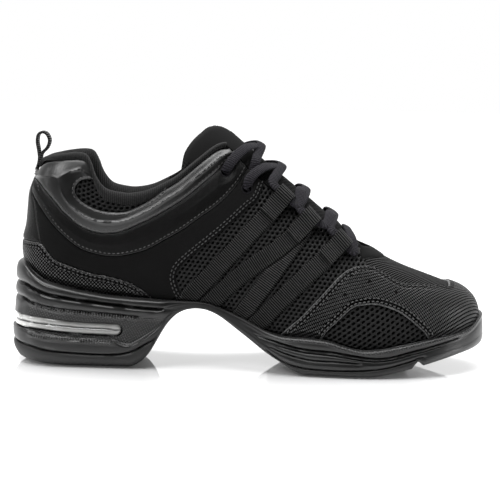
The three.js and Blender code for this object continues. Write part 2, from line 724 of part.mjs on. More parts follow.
// Outline seen from above that is as wide as the rows say, on both sides of the middle line.
function planOutline(rows, grow = 0) {
  const lateral = rows.map((row) => [alongX(row.x), middleY(alongX(row.x)) - across(row.half)]);
  const medial = rows.map((row) => [alongX(row.x), middleY(alongX(row.x)) + across(row.half)]);
  const outline = [...lateral, ...medial.reverse()].filter(([x, y], i, all) => {
    return i === 0 || Math.hypot(x - all[i - 1][0], y - all[i - 1][1]) > weldDistance;
  });
  return widened(outline, grow);
}

// Cutters shared by the upper and what is laid over it
const collarFrontX = alongX(collarLine[collarLine.length - 1].x);
const collarCut = (lift) => {
  const line = raised(collarLine, lift);
  return prism([[-farAway, line[0][1]], ...line, [collarFrontX, highZ], [-farAway, highZ]], 'side');
};
const throatCut = (grow) => prism(planOutline(throatShape, grow), 'top');
const backstayOutline = (grow) => {
  const right = backstayShape.map((row) => [across(row.half), alongZ(row.z)]);
  const left = right.map(([y, z]) => [-y, z]).reverse();
  return widened([...right, ...left], grow);
};
const backstayRegion = (grow) => prism(backstayOutline(grow), 'back', -farAway, backstayFrontX);

const eyeletSides = 8;
function eyeletPins(side) {
  const pinLength = 8 * upperWall;
  return eyelets.map(({ x, z }) => {
    const place = sidePoint(alongX(x), alongZ(z), side, 0);
    const normal = formNormal(alongX(x), turnAt(alongX(x), alongZ(z), side));
    const pin = new THREE.CylinderGeometry(eyeletRadius, eyeletRadius, pinLength, eyeletSides);
    const turn = new THREE.Quaternion().setFromUnitVectors(new THREE.Vector3(0, 1, 0), normal);
    pin.applyQuaternion(turn).translate(place.x, place.y, place.z);
    return solidOf(pin);
  });
}
const cutAll = (solid, cutters) => cutters.reduce((rest, cutter) => rest.subtract(cutter), solid);
const allEyelets = [...eyeletPins(-1), ...eyeletPins(1)];

// Side wall of the sole at a station, from the floor to the lip
const soleStations = stationsOf(5, [
  ...evenSteps(heelRoundX, alongX(0.25), 2),
  ...evenSteps(alongX(0.25), alongX(0.61), 9),
  ...evenSteps(alongX(0.61), toeRoundX, 4),
], 5);
const wallCurve = (column) => curveOf(soleWall, 'height', column, 1, ballWidth);
const heelWall = wallCurve('heel');
const rearWall = wallCurve('rear');
const foreWall = wallCurve('fore');

function solePoint(x, side, height, inset) {
  const turn = side * quarterTurn;
  const edge = formPoint(x, turn);
  const normal = formNormal(x, turn).setZ(0).normalize();
  const share = THREE.MathUtils.smoothstep(edge.x, heelBlockX, foreSoleX);
  const rear = Math.max(-normal.x, 0) * (edge.x < heelRoundX ? 1 : 0);
  const wallHeight = lipZ(edge.x) - bottomZ(edge.x);
  const relief = Math.min(wallHeight / fullWall, 1);
  const plain = rimWall + gap;
  const full = (1 - share) * heelWall(height) + share * foreWall(height) + rear * rearWall(height);
  const out = plain + (full - plain) * relief - inset;
  const point = edge.addScaledVector(normal, out);
  point.z = bottomZ(point.x) + (lipZ(point.x) - bottomZ(point.x)) * height;
  return point;
}

// Upper: one hollow shell, open at the collar, the throat and underneath
const innerDrop = 4 * gap + upperWall;
const shell = form(0, -gap).subtract(form(-upperWall, innerDrop));
const upperShell = cutAll(shell, [collarCut(0), throatCut(0), ...allEyelets]);

// Layer of thin material just over the upper
const overlayLayer = form(gap + overlayWall, -2 * gap).subtract(form(gap, innerDrop));
const openLayer = overlayLayer.subtract(collarCut(-1)).subtract(throatCut(1));
const seamGap = gap / 2;

// The sole's cup holds the lower edge of the upper, so the overlays end above its lip.
const lipLine = soleStations.map((x) => solePoint(x, 1, 1, 0)).map(({ x, z }) => [x, z + 2 * gap]);
const underLip = belowLine(lipLine);
const layerAboveLip = openLayer.subtract(underLip);

const collarWindowCut = prism(pointsOf(collarWindow), 'side');
const collarLeather = cutAll(
  layerAboveLip.intersect(above(bandSeam, seamGap)).subtract(collarWindowCut),
  [backstayRegion(seamGap), ...allEyelets],
);
const collarBand = (side) => cutAll(
  layerAboveLip.intersect(above(quarterSeam, seamGap)).intersect(sideHalf(side)),
  [above(bandSeam, -seamGap), backstayRegion(seamGap), ...allEyelets],
);

const sideCurve = (rows) => {
  const points = rows.map(({ x, z }) => new THREE.Vector3(alongX(x), 0, alongZ(z)));
  return new THREE.CatmullRomCurve3(points);
};

// Ribbon of the side view around a strap's legs
const legSteps = 4;
function legOutline(points, grow) {
  const path = sideCurve(points);
  const edge = (share) => Array.from({ length: legSteps + 1 }, (_, i) => {
    const place = path.getPointAt(i / legSteps);
    const along = path.getTangentAt(i / legSteps);
    return [place.x - along.z * share * webbingWidth, place.z + along.x * share * webbingWidth];
  });
  return widened([...edge(-0.5), ...edge(0.5).reverse()], grow);
}
function strapRegion({ legs }, grow) {
  const regions = legs.map((points) => prism(legOutline(points, grow), 'side'));
  return regions.reduce((joined, region) => joined.add(region));
}

const quarterFrontLine = pointsOf(quarterFront);
const quarterRegion = prism([...quarterFrontLine, [-farAway, highZ], [-farAway, lowZ],
  [quarterFrontLine[0][0], lowZ]], 'side');
function quarter(side) {
  const piece = layerAboveLip.intersect(quarterRegion)
    .intersect(sideHalf(side))
    .subtract(above(quarterSeam, -seamGap))
    .subtract(below(counterTop, seamGap));
  return cutAll(piece, [backstayRegion(seamGap), strapRegion(straps[0], gap), ...allEyelets]);
}
const heelCounter = layerAboveLip.intersect(below(counterTop, -seamGap));
const backstay = layerAboveLip.intersect(backstayRegion(-seamGap)).subtract(below(counterTop, seamGap));

const guardLine = pointsOf(guardTop);
const guardTopZ = guardLine[guardLine.length - 1][1];
const guardRegion = prism([...guardLine, [farAway, guardTopZ], [farAway, lowZ],
  [guardLine[0][0], lowZ]], 'side');
const toeGuard = layerAboveLip.intersect(guardRegion).subtract(prism(pointsOf(guardWindow), 'side'));

const throatGuardBackX = alongX(throatGuardShape[0].x);
const throatGuard = openLayer
  .intersect(prism(planOutline(throatGuardShape), 'top'))
  .subtract(guardRegion.translate(-2 * seamGap, 0, 2 * seamGap))
  .subtract(box(-farAway, throatGuardBackX, -farAway, farAway, lowZ, highZ));

// Sole body with ribbed side walls, inset from its outside
function soleBody(inset) {
  const heights = soleWall.map((row) => row.height);
  const ringAt = (x) => [
    ...heights.map((height) => solePoint(x, isStem(x) ? 1 : -1, height, inset)),
    ...heights.map((height) => solePoint(x, 1, height, inset)).reverse(),
  ];
  return solidFromRings(soleStations.map(ringAt));
}

const cellOutline = (() => {
  const top = pointsOf(cellTop);
  const bottom = pointsOf(cellBottom);
  const [endX, topZ] = top[top.length - 1];
  const lowEndZ = bottom[bottom.length - 1][1];
  const radius = (topZ - lowEndZ) / 2;
  const round = [1, 2, 3, 4, 5].map((i) => {
    const angle = quarterTurn - (i / 6) * Math.PI;
    return [endX + radius * Math.cos(angle), lowEndZ + radius + radius * Math.sin(angle)];
  });
  return [...top, ...round, ...bottom.reverse()];
})();
const cellCavity = prism(cellOutline, 'side').subtract(soleBody(cellDepth));

const notchX = alongX(flexNotch.x);
const notchHalf = alongX(flexNotch.halfWidth);
const notchCut = prism([[notchX - notchHalf, lowZ], [notchX - notchHalf, bottomZ(notchX - notchHalf)],
  [notchX - notchHalf / 4, bottomZ(notchX) + alongZ(flexNotch.depth)],
  [notchX + notchHalf / 2, bottomZ(notchX) + alongZ(flexNotch.depth)],
  [notchX + notchHalf, lowZ]], 'side');
const fullSole = soleBody(0).subtract(form(gap, 0)).subtract(notchCut);
// Treads under the heel and the ball, each let into the midsole below its seam
function tread(seamLine, clearance) {
  const [from, to] = [seamLine[0].x, seamLine[seamLine.length - 1].x].map(alongX);
  return below(seamLine, -clearance)
    .intersect(box(from + clearance, to - clearance, -farAway, farAway, lowZ, highZ));
}
const midsole = cutAll(fullSole, [cellCavity, tread(heelTreadTop, 0), tread(foreTreadTop, 0)]);
const heelTread = fullSole.intersect(tread(heelTreadTop, gap));
const foreTread = fullSole.intersect(tread(foreTreadTop, gap));
const airCell = soleBody(cellRecess)
  .intersect(prism(widened(cellOutline, -gap), 'side'))
  .subtract(soleBody(cellDepth - gap));

// Insole on the sole's seat, inside the upper
const seatLine = formStations.map((x) => [x, seatZ(x)]);
const insoleOutline = [
  ...seatLine.map(([x, z]) => [x, z + gap]),
  ...seatLine.map(([x, z]) => [x, z + gap + insoleWall]).reverse(),
];
const insole = form(-upperWall - gap, innerDrop).intersect(prism(insoleOutline, 'side'));

// Tongue under the throat, and padding inside the collar
const tongueOuter = form(-upperWall - gap, innerDrop);
const tongueInner = form(-upperWall - gap - tongueWall, innerDrop);
const tongueTipLine = pointsOf(tongueTip);
const [tongueBackX, tongueTopZ] = [tongueTipLine[0][0], tongueTipLine[tongueTipLine.length - 1][1]];
const tongueRegion = prism([...tongueTipLine, [tongueFrontX, tongueTopZ], [tongueFrontX, tongueLowZ],
  [tongueBackX, tongueLowZ]], 'side');
const tongueBand = box(0, farAway, -tongueHalfWidth, tongueHalfWidth, 0, highZ);
const tongue = tongueOuter.subtract(tongueInner).intersect(tongueRegion).intersect(tongueBand);

const liningInner = form(-upperWall - gap - liningWall, innerDrop);
const underLining = belowLine(raised(collarLine, -liningDepth));
const tongueRoom = box(tongueBackX - gap, farAway, -tongueHalfWidth - gap, tongueHalfWidth + gap, 0, highZ);
const collarLining = tongueOuter.subtract(liningInner)
  .subtract(collarCut(1))
  .subtract(underLining)
  .intersect(box(-farAway, liningFrontX, -farAway, farAway, lowZ, highZ))
  .subtract(tongueRoom);

// Closed solid through rings, with flat ends.
function solidFromStrip(rings) {
  const count = rings[0].length;
  const positions = rings.flat().flatMap((p) => [p.x, p.y, p.z]);
  const index = [];
  for (let i = 0; i + 1 < rings.length; i += 1) {
    for (let j = 0; j < count; j += 1) {
      const k = (j + 1) % count;
      const [a, b, c, d] = [i * count + j, i * count + k, (i + 1) * count + k, (i + 1) * count + j];
      index.push(a, b, c, a, c, d);
    }
  }
  for (let j = 1; j + 1 < count; j += 1) {
    const last = (rings.length - 1) * count;
    index.push(0, j + 1, j, last, last + j, last + j + 1);
  }
  const geometry = new THREE.BufferGeometry();
  geometry.setAttribute('position', new THREE.Float32BufferAttribute(positions, 3));
  geometry.setIndex(index);
  return solidOf(geometry);
}

// Webbing straps, each with the fold at its top that the lace runs through
const strapLayer = form(gap + webbingWall, 0).subtract(form(gap, innerDrop)).subtract(underLip);

const foldSegments = 5; // facets of half a fold
function strapFold(points, side) {
  const end = points[points.length - 1];
  const before = points[points.length - 2];
  const [x, z] = [alongX(end.x), alongZ(end.z)];
  const normal = formNormal(x, turnAt(x, z, side));
  const up = sidePoint(x, z, side, 0).sub(sidePoint(alongX(before.x), alongZ(before.z), side, 0));
  const laceWay = up.clone().cross(normal).normalize();
  const middle = sidePoint(x, z, side, gap + webbingFoldRadius);
  const ring = new THREE.Shape().absarc(0, 0, webbingFoldRadius, 0, 2 * Math.PI);
  ring.holes.push(new THREE.Path().absarc(0, 0, webbingFoldRadius - webbingWall, 0, 2 * Math.PI, true));
  const extrusion = { depth: webbingWidth, bevelEnabled: false, curveSegments: foldSegments };
  const geometry = new THREE.ExtrudeGeometry(ring, extrusion);
  geometry.translate(0, 0, -webbingWidth / 2);
  const frame = new THREE.Matrix4().makeBasis(normal.clone().cross(laceWay), normal, laceWay);
  geometry.applyMatrix4(frame.setPosition(middle));
  return solidOf(geometry);
}

function strap(index, side) {
  const nextStraps = straps.slice(index + 1).map((next) => strapRegion(next, gap));
  const ribbon = strapLayer.intersect(strapRegion(straps[index], 0)).intersect(sideHalf(side));
  return cutAll(ribbon, nextStraps).add(strapFold(straps[index].legs[0], side));
}

// Lace tube along a path, its broad side down on the shoe
const laceSides = 6;
const laceSteps = 6;
const laceCore = across(0.3); // how far under the ridge the point lies that its broad side faces away from
function laceTube(points) {
  const path = new THREE.CatmullRomCurve3(points);
  const rings = Array.from({ length: laceSteps + 1 }, (_, i) => {
    const place = path.getPointAt(i / laceSteps);
    const along = path.getTangentAt(i / laceSteps);
    const out = new THREE.Vector3(laceCore / 2, place.y - middleY(place.x), laceCore).normalize();
    const wide = along.clone().cross(out).normalize();
    const thick = wide.clone().cross(along).normalize();
    return Array.from({ length: laceSides }, (__, j) => {
      const angle = (j / laceSides) * 2 * Math.PI;
      return place.clone()
        .addScaledVector(wide, (Math.cos(angle) * laceWidth) / 2)
        .addScaledVector(thick, (Math.sin(angle) * laceThickness) / 2);
    });
  });
  return solidFromStrip(rings);
}

// The lace over the tongue along a route that starts on the given side
function laceOver(route, side) {
  const top = (route.length - 1) / 2;
  return laceTube(route.map(({ x, z, lift }, i) => (i === top
    ? grownPoint(alongX(x), 0, lift)
    : sidePoint(alongX(x), alongZ(z), i < top ? side : -side, lift))));
}
const laceCrossing = (route) => laceOver(route, -1).add(laceOver(route, 1));

// Pull loop: tape bent to a drop-shaped eye above the backstay
const tapeSteps = 9;
function tapeStrip(rows) {
  const path = sideCurve(rows);
  const rings = Array.from({ length: tapeSteps + 1 }, (_, i) => {
    const place = path.getPointAt(i / tapeSteps);
    const along = path.getTangentAt(i / tapeSteps);
    const out = new THREE.Vector3(-along.z, 0, along.x).multiplyScalar(pullTapeWall / 2);
    const wide = new THREE.Vector3(0, pullTapeWidth / 2, 0);
    return [
      place.clone().add(out).add(wide),
      place.clone().add(out).sub(wide),
      place.clone().sub(out).sub(wide),
      place.clone().sub(out).add(wide),
    ];
  });
  return solidFromStrip(rings);
}

// Materials
const paint = (color, roughness, extra = {}) => {
  return new THREE.MeshStandardMaterial({ color, roughness, ...extra });
};
const finishes = {
  mesh: paint(0x1a1a1c, 0.9),
  lining: paint(0x1c1c20, 0.95),
  gloss: paint(0x1b1b1c, 0.28),
  suede: paint(0x0e0e0f, 0.95),
  grain: paint(0x2b2c2f, 0.55),
  webbing: paint(0x1c1c1d, 0.8),
  lace: paint(0x2c2b30, 0.85),
  rubber: paint(0x2a2b2d, 0.6),
  tread: paint(0x1e1f20, 0.75),
  cell: paint(0x9a9a94, 0.12, { transparent: true, opacity: 0.5 }),
};

const shoe = new THREE.Group();
shoe.position.x = -restX;
function place(name, solid, finish) {
  const mesh = new THREE.Mesh(geometryOf(solid), finish);
  mesh.name = name;
  shoe.add(mesh);
}

place('midsole', midsole, finishes.rubber);
place('heel_tread', heelTread, finishes.tread);
place('forefoot_tread', foreTread, finishes.tread);
place('air_cell', airCell, finishes.cell);
place('upper', upperShell, finishes.mesh);
place('insole', insole, finishes.lining);
place('tongue', tongue, finishes.mesh);
place('collar_lining', collarLining, finishes.lining);
place('collar_leather', collarLeather, finishes.gloss);
place('collar_band_lateral', collarBand(-1), finishes.gloss);
place('collar_band_medial', collarBand(1), finishes.gloss);
place('quarter_lateral', quarter(-1), finishes.suede);
place('quarter_medial', quarter(1), finishes.suede);
place('heel_counter', heelCounter, finishes.grain);
place('backstay', backstay, finishes.gloss);
place('pull_loop', tapeStrip(pullTapeUp).add(tapeStrip(pullTapeDown)), finishes.webbing);
place('toe_guard', toeGuard, finishes.grain);
place('throat_guard', throatGuard, finishes.suede);
straps.forEach(({ name }, index) => {
  place(`strap_lateral_${name}`, strap(index, -1), finishes.webbing);
  place(`strap_medial_${name}`, strap(index, 1), finishes.webbing);
});
laceRoutes.forEach((route, row) => place(`lace_crossing_${row + 1}`, laceCrossing(route), finishes.lace));
place('lace_bar', laceOver(laceBarRoute, -1), finishes.lace);

export default shoe;
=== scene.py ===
import math
from collections import namedtuple

import bpy
import numpy as np
from mathutils import Matrix, Vector


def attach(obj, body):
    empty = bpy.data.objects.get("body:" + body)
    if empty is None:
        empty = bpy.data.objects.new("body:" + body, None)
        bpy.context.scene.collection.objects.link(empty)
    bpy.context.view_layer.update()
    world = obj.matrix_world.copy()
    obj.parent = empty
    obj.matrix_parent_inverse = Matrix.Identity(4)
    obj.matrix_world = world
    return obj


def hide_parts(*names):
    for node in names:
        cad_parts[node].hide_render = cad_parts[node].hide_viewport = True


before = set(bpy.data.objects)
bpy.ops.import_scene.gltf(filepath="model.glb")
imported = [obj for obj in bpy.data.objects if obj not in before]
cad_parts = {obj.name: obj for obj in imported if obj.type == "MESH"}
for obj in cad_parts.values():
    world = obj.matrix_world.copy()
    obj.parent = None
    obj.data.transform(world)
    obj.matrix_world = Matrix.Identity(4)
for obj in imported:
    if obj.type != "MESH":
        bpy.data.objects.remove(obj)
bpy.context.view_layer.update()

# Dance practice shoe, right foot: the looks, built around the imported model.
#
# Lengths in this script are millimetres in shoe coordinates (x from the rear of the heel, -Y the outer
# side), and become metres in the row frame when a mesh is made. The tables hold shares, as the part's
# source does: x of SHOE_LENGTH, z of SHOE_HEIGHT and widths of BALL_WIDTH.

# Driving sizes of the shoe
SHOE_LENGTH = 268.0
SHOE_HEIGHT = 140.0
BALL_WIDTH = 93.0
UPPER_WALL = 2.2
OVERLAY_WALL = 1.1
GAP = 0.3
RIM_WALL = 1.2
TONGUE_WALL = 4.5
INSOLE_WALL = 3.0
CELL_DEPTH = 9.0
WEBBING_WIDTH = 9.8
WEBBING_WALL = 1.2
LACE_WIDTH = 5.7
LACE_THICKNESS = 1.9
PULL_TAPE_WIDTH = 10.0
PULL_TAPE_WALL = 1.5
REST_X = 0.155 * SHOE_LENGTH
MM = 0.001
TINY = 1e-12
SIDES = ((-1, "lateral"), (1, "medial"))


def table(columns, rows):
    """A table with named columns of shares."""
    return namedtuple("Table", columns.split())(*np.array(rows, float).T)


# Upper: a row for each frontal section
SECTIONS = table("x seat belly ridge lateral medial power", [
    (0.019, 0.281, 0.407, 1.071, 0.323, 0.323, 2), (0.12, 0.273, 0.4, 1.071, 0.328, 0.328, 2),
    (0.224, 0.266, 0.386, 1.071, 0.333, 0.328, 2), (0.336, 0.264, 0.357, 1.068, 0.333, 0.317, 1.95),
    (0.392, 0.2605, 0.336, 1.043, 0.339, 0.312, 1.9),
    (0.44, 0.239, 0.314, 0.986, 0.349, 0.317, 1.85), (0.485, 0.191, 0.286, 0.916, 0.371, 0.333, 1.8),
    (0.541, 0.136, 0.243, 0.827, 0.409, 0.366, 1.8), (0.597, 0.1, 0.207, 0.743, 0.441, 0.409, 1.8),
    (0.653, 0.079, 0.186, 0.656, 0.468, 0.441, 1.85),
    (0.709, 0.064, 0.171, 0.564, 0.478, 0.457, 1.9), (0.746, 0.061, 0.164, 0.5, 0.478, 0.462, 1.95),
    (0.784, 0.064, 0.161, 0.451, 0.473, 0.462, 2), (0.828, 0.079, 0.164, 0.411, 0.457, 0.457, 2.05),
    (0.881, 0.104, 0.179, 0.374, 0.457, 0.457, 2.1), (0.929, 0.129, 0.193, 0.34, 0.457, 0.457, 2.15),
    (0.955, 0.143, 0.196, 0.319, 0.457, 0.457, 2.2), (0.974, 0.15, 0.2, 0.29, 0.457, 0.457, 2.2),
    (0.985, 0.154, 0.2, 0.259, 0.457, 0.457, 2.2), (0.992, 0.157, 0.2, 0.204, 0.457, 0.457, 2.2),
])
MIDDLE_LINE = table("x shift", [
    (0, 0), (0.56, 0), (0.746, -0.011), (0.828, 0.016), (1, 0.075),
])
HEEL_CURVE = table("z lean", [
    (0.25, 0.0095), (0.33, 0.0095), (0.4, 0.009), (0.49, 0.0065), (0.52, 0.011), (0.55, 0.0145),
    (0.62, 0.0175), (0.665, 0.019), (0.735, 0.03), (0.785, 0.039), (0.815, 0.052), (0.86, 0.067),
    (1.071, 0.09),
])
SOLE_PROFILE = table("x bottom lip", [
    (0, 0.014, 0.411), (0.03, -0.004, 0.402), (0.055, -0.004, 0.365), (0.08, -0.004, 0.337),
    (0.1, -0.004, 0.327), (0.13, -0.004, 0.313), (0.165, -0.004, 0.3), (0.21, -0.004, 0.287),
    (0.258, -0.003, 0.28), (0.2735, 0.012, 0.278), (0.29, 0.034, 0.277), (0.305, 0.074, 0.275),
    (0.32, 0.135, 0.273), (0.336, 0.184, 0.272), (0.354, 0.222, 0.27), (0.378, 0.241, 0.269),
    (0.4, 0.245, 0.2675), (0.42, 0.237, 0.262),
    (0.44, 0.22, 0.249), (0.47, 0.178, 0.227), (0.505, 0.129, 0.197), (0.54, 0.078, 0.166),
    (0.58, 0.033, 0.15), (0.597, 0.012, 0.1495), (0.618, -0.002, 0.149),
    (0.665, -0.002, 0.142), (0.695, -0.002, 0.124),
    (0.74, -0.002, 0.107), (0.765, 0.002, 0.11), (0.815, 0.019, 0.125), (0.865, 0.043, 0.144),
    (0.92, 0.068, 0.16), (0.955, 0.082, 0.171), (0.975, 0.087, 0.19), (0.99, 0.091, 0.216),
    (1, 0.093, 0.229),
])
SOLE_WALL = table("height heel rear fore", [
    (0, -0.038, -0.016, -0.027), (0.05, 0.014, 0.008, 0.012), (0.13, 0.036, 0.019, 0.029),
    (0.175, 0.038, 0.021, 0.032), (0.22, 0.039, 0.021, 0.034),
    (0.325, 0.039, 0.022, 0.035), (0.375, 0.035, 0.02, 0.034),
    (0.56, 0.035, 0.013, 0.033), (0.69, 0.036, 0.009, 0.031),
    (0.76, 0.034, 0.006, 0.029), (0.81, 0.035, 0.005, 0.028),
    (0.87, 0.033, 0.003, 0.026), (0.96, 0.029, 0.001, 0.024), (1, 0.016, 0, 0.016),
])
COLLAR_LINE = table("x z", [
    (0.06, 0.788), (0.07, 0.81), (0.085, 0.826), (0.112, 0.836), (0.142, 0.842), (0.16, 0.834), (0.171, 0.8),
    (0.181, 0.75), (0.2, 0.705), (0.228, 0.69), (0.254, 0.687), (0.287, 0.7), (0.317, 0.727),
    (0.347, 0.761), (0.384, 0.82), (0.418, 0.873), (0.436, 0.891), (0.451, 0.894),
])
BAND_SEAM = table("x z", [
    (-0.03, 0.79), (0.05, 0.735), (0.078, 0.69), (0.1, 0.645), (0.12, 0.603), (0.15, 0.558),
    (0.18, 0.536), (0.205, 0.532), (0.235, 0.54), (0.276, 0.575), (0.313, 0.612), (0.362, 0.672),
    (0.403, 0.738), (0.433, 0.789), (0.47, 0.86),
])
QUARTER_SEAM = table("x z", [
    (-0.03, 0.76), (0.037, 0.71), (0.052, 0.667), (0.078, 0.598), (0.1, 0.551), (0.123, 0.511),
    (0.15, 0.473), (0.183, 0.452), (0.22, 0.443), (0.261, 0.456), (0.295, 0.479), (0.328, 0.516),
    (0.358, 0.549), (0.396, 0.602), (0.437, 0.661), (0.47, 0.729), (0.489, 0.79), (0.505, 0.86),
])
COUNTER_TOP = table("x z", [
    (-0.03, 0.487), (0.05, 0.487), (0.071, 0.482), (0.086, 0.449), (0.101, 0.422), (0.127, 0.403),
    (0.153, 0.386), (0.179, 0.373), (0.213, 0.362), (0.25, 0.343), (0.272, 0.323), (0.291, 0.298),
    (0.302, 0.278), (0.31, 0.25),
])
QUARTER_FRONT = table("x z", [
    (0.385, 0.22), (0.372, 0.286), (0.361, 0.307), (0.351, 0.353), (0.351, 0.376), (0.358, 0.407),
    (0.388, 0.461), (0.444, 0.551), (0.496, 0.644), (0.515, 0.676), (0.53, 0.753), (0.54, 0.83),
])
COLLAR_WINDOW = table("x z", [
    (0.175, 0.742), (0.153, 0.739), (0.142, 0.721), (0.138, 0.694), (0.146, 0.666), (0.164, 0.641),
    (0.19, 0.622), (0.216, 0.615), (0.246, 0.62), (0.276, 0.646), (0.299, 0.674), (0.317, 0.706),
    (0.33, 0.76),
])
GUARD_TOP = table("x z", [
    (0.56, 0.1), (0.571, 0.158), (0.612, 0.234), (0.66, 0.336), (0.69, 0.396), (0.716, 0.422),
    (0.739, 0.426), (0.761, 0.417), (0.78, 0.395), (0.806, 0.365), (0.825, 0.354), (0.858, 0.349),
    (0.899, 0.339), (0.916, 0.331), (0.926, 0.345), (0.93, 0.4),
])
GUARD_WINDOW = table("x z", [
    (0.64, 0.06), (0.657, 0.159), (0.683, 0.215), (0.713, 0.269), (0.735, 0.281), (0.761, 0.284),
    (0.791, 0.269), (0.817, 0.246), (0.843, 0.209), (0.869, 0.161), (0.885, 0.09),
])
THROAT_SHAPE = table("x half", [
    (0.33, 0.2), (0.44, 0.155), (0.505, 0.188), (0.56, 0.21), (0.616, 0.22), (0.672, 0.222),
    (0.702, 0.205), (0.724, 0.165), (0.743, 0.1), (0.752, 0.04), (0.7535, 0),
])
THROAT_GUARD_SHAPE = table("x half", [
    (0.73, 0.29), (0.74, 0.26), (0.768, 0.165), (0.784, 0.08), (0.788, 0),
])
BACKSTAY_SHAPE = table("z half", [
    (0.745, 0.09), (0.69, 0.13), (0.645, 0.19), (0.61, 0.215), (0.565, 0.237), (0.527, 0.258),
    (0.46, 0.29),
])
TONGUE_TIP = table("x z", [
    (0.356, 0.8), (0.362, 0.862), (0.376, 0.905), (0.396, 0.944), (0.41, 0.966), (0.424, 0.976),
    (0.44, 0.976), (0.46, 0.96),
])
CELL_TOP = table("x z", [
    (-0.03, 0.2), (0.075, 0.193), (0.15, 0.182), (0.228, 0.179),
])
CELL_BOTTOM = table("x z", [
    (-0.03, 0.142), (0.075, 0.135), (0.15, 0.126), (0.228, 0.122),
])
HEEL_TREAD_TOP = table("x z", [
    (-0.03, 0.089), (0.02, 0.081), (0.055, 0.071), (0.1, 0.06), (0.175, 0.053), (0.232, 0.055),
    (0.262, 0.068), (0.285, 0.09), (0.31, 0.12),
])
FORE_TREAD_TOP = table("x z", [
    (0.545, 0.09), (0.575, 0.052), (0.612, 0.031), (0.675, 0.026), (0.74, 0.029), (0.785, 0.041),
    (0.82, 0.057), (0.8524, 0.074),
])
TONGUE_HALF_WIDTH = 0.28 * BALL_WIDTH
TONGUE_FRONT_X = 0.79 * SHOE_LENGTH
BACKSTAY_FRONT_X = 0.13 * SHOE_LENGTH

# Webbing straps: the legs' middle lines in the side view, from the sole up to the fold for the lace
STRAPS = {
    "1": [table("x z", [(0.37, 0.27), (0.455, 0.445), (0.567, 0.685)])],
    "2": [
        table("x z", [(0.412, 0.25), (0.49, 0.388), (0.568, 0.5), (0.623, 0.599)]),
        table("x z", [(0.484, 0.21), (0.551, 0.396), (0.623, 0.599)]),
    ],
    "3": [table("x z", [(0.516, 0.185), (0.6, 0.352), (0.688, 0.513)])],
}
EYELETS = table("x z", [(0.492, 0.716), (0.447, 0.78)])

# Lace over the tongue, from its hold on one side to its hold on the other. lift is the height of its
# middle over the upper, in millimetres.
LACE_ROUTES = [
    table("x z lift", [(0.664, 0.553, 3.2), (0.668, 0.589, 1.8), (0.677, 1, -0.6),
                       (0.664, 0.614, 1.8), (0.652, 0.569, 3.2)]),
    table("x z lift", [(0.599, 0.634, 3.2), (0.608, 0.677, 1.8), (0.616, 1, -0.4),
                       (0.601, 0.703, 1.8), (0.594, 0.646, 3.2)]),
    table("x z lift", [(0.543, 0.729, 3.2), (0.552, 0.768, 1.8), (0.56, 1, 1.2),
                       (0.519, 0.789, 2.4), (0.495, 0.746, 3.2)]),
    table("x z lift", [(0.507, 0.818, 2.2), (0.51, 0.84, 1.4), (0.512, 1, 2.4),
                       (0.481, 0.862, 2.6), (0.455, 0.812, 3.2)]),
]
LACE_BAR = table("x z lift", [
    (0.711, 0.471, 2.2), (0.7135, 0.492, 1.6), (0.711, 0.525, 1.2), (0.707, 1, -0.9),
    (0.711, 0.525, 1.2), (0.7135, 0.492, 1.6), (0.711, 0.471, 2.2),
])
PULL_TAPE = table("x z", [(0.0468, 0.765), (0.0512, 0.79), (0.0528, 0.815), (0.0508, 0.845),
                          (0.0478, 0.88), (0.0505, 0.908), (0.0585, 0.9165), (0.067, 0.911),
                          (0.0735, 0.885), (0.069, 0.855), (0.0575, 0.83), (0.0545, 0.8)])

QUARTER = math.pi / 2
SEAT_TURN = QUARTER + 1
HEEL_END = SECTIONS.x[0] * SHOE_LENGTH
TOE_END = SECTIONS.x[-1] * SHOE_LENGTH
HEEL_ROUND = 0.134 * SHOE_LENGTH
TOE_ROUND = 0.802 * SHOE_LENGTH
HEEL_SQUARENESS = 2.2
TOE_SQUARENESS = 2.0
SEAT_TUCK = 0.1
FAR = 2 * SHOE_LENGTH
HIGH = 2 * SHOE_HEIGHT
FINE_STEP = 0.25


def monotone(xs, ys):
    """Smooth curve through points that never overshoots them."""
    steps = np.diff(xs)
    slopes = np.diff(ys) / steps
    tangents = np.concatenate([slopes[:1], np.zeros(len(xs) - 2), slopes[-1:]])
    before, after = slopes[:-1], slopes[1:]
    weight_before = 2 * steps[1:] + steps[:-1]
    weight_after = steps[1:] + 2 * steps[:-1]
    rising = before * after > 0
    safe_before = np.where(rising, before, 1.0)
    safe_after = np.where(rising, after, 1.0)
    mean = (weight_before + weight_after) / (weight_before / safe_before + weight_after / safe_after)
    tangents[1:-1] = np.where(rising, mean, 0.0)

    def value(at):
        v = np.clip(at, xs[0], xs[-1])
        i = np.clip(np.searchsorted(xs, v, side="right") - 1, 0, len(xs) - 2)
        t = (v - xs[i]) / steps[i]
        start = ys[i] * (1 + 2 * t) * (1 - t) ** 2 + tangents[i] * steps[i] * t * (1 - t) ** 2
        end = ys[i + 1] * t * t * (3 - 2 * t) + tangents[i + 1] * steps[i] * t * t * (t - 1)
        return start + end

    return value


def curve(xs, ys, x_size, y_size, blur=0.0):
    """Curve through a table's columns, softened over blur millimetres."""
    xs, ys = xs * x_size, ys * y_size
    exact = monotone(xs, ys)
    if blur == 0:
        return exact
    fine = np.arange(xs[0], xs[-1] + FINE_STEP, FINE_STEP)
    values = exact(fine)
    reach = int(4 * blur / FINE_STEP)
    kernel = np.exp(-0.5 * (np.arange(-reach, reach + 1) * FINE_STEP / blur) ** 2)
    head = 2 * values[0] - values[1:reach + 1][::-1]
    tail = 2 * values[-1] - values[-reach - 1:-1][::-1]
    soft = np.convolve(np.concatenate([head, values, tail]), kernel / kernel.sum(), mode="valid")
    return lambda at: np.interp(at, fine, soft)


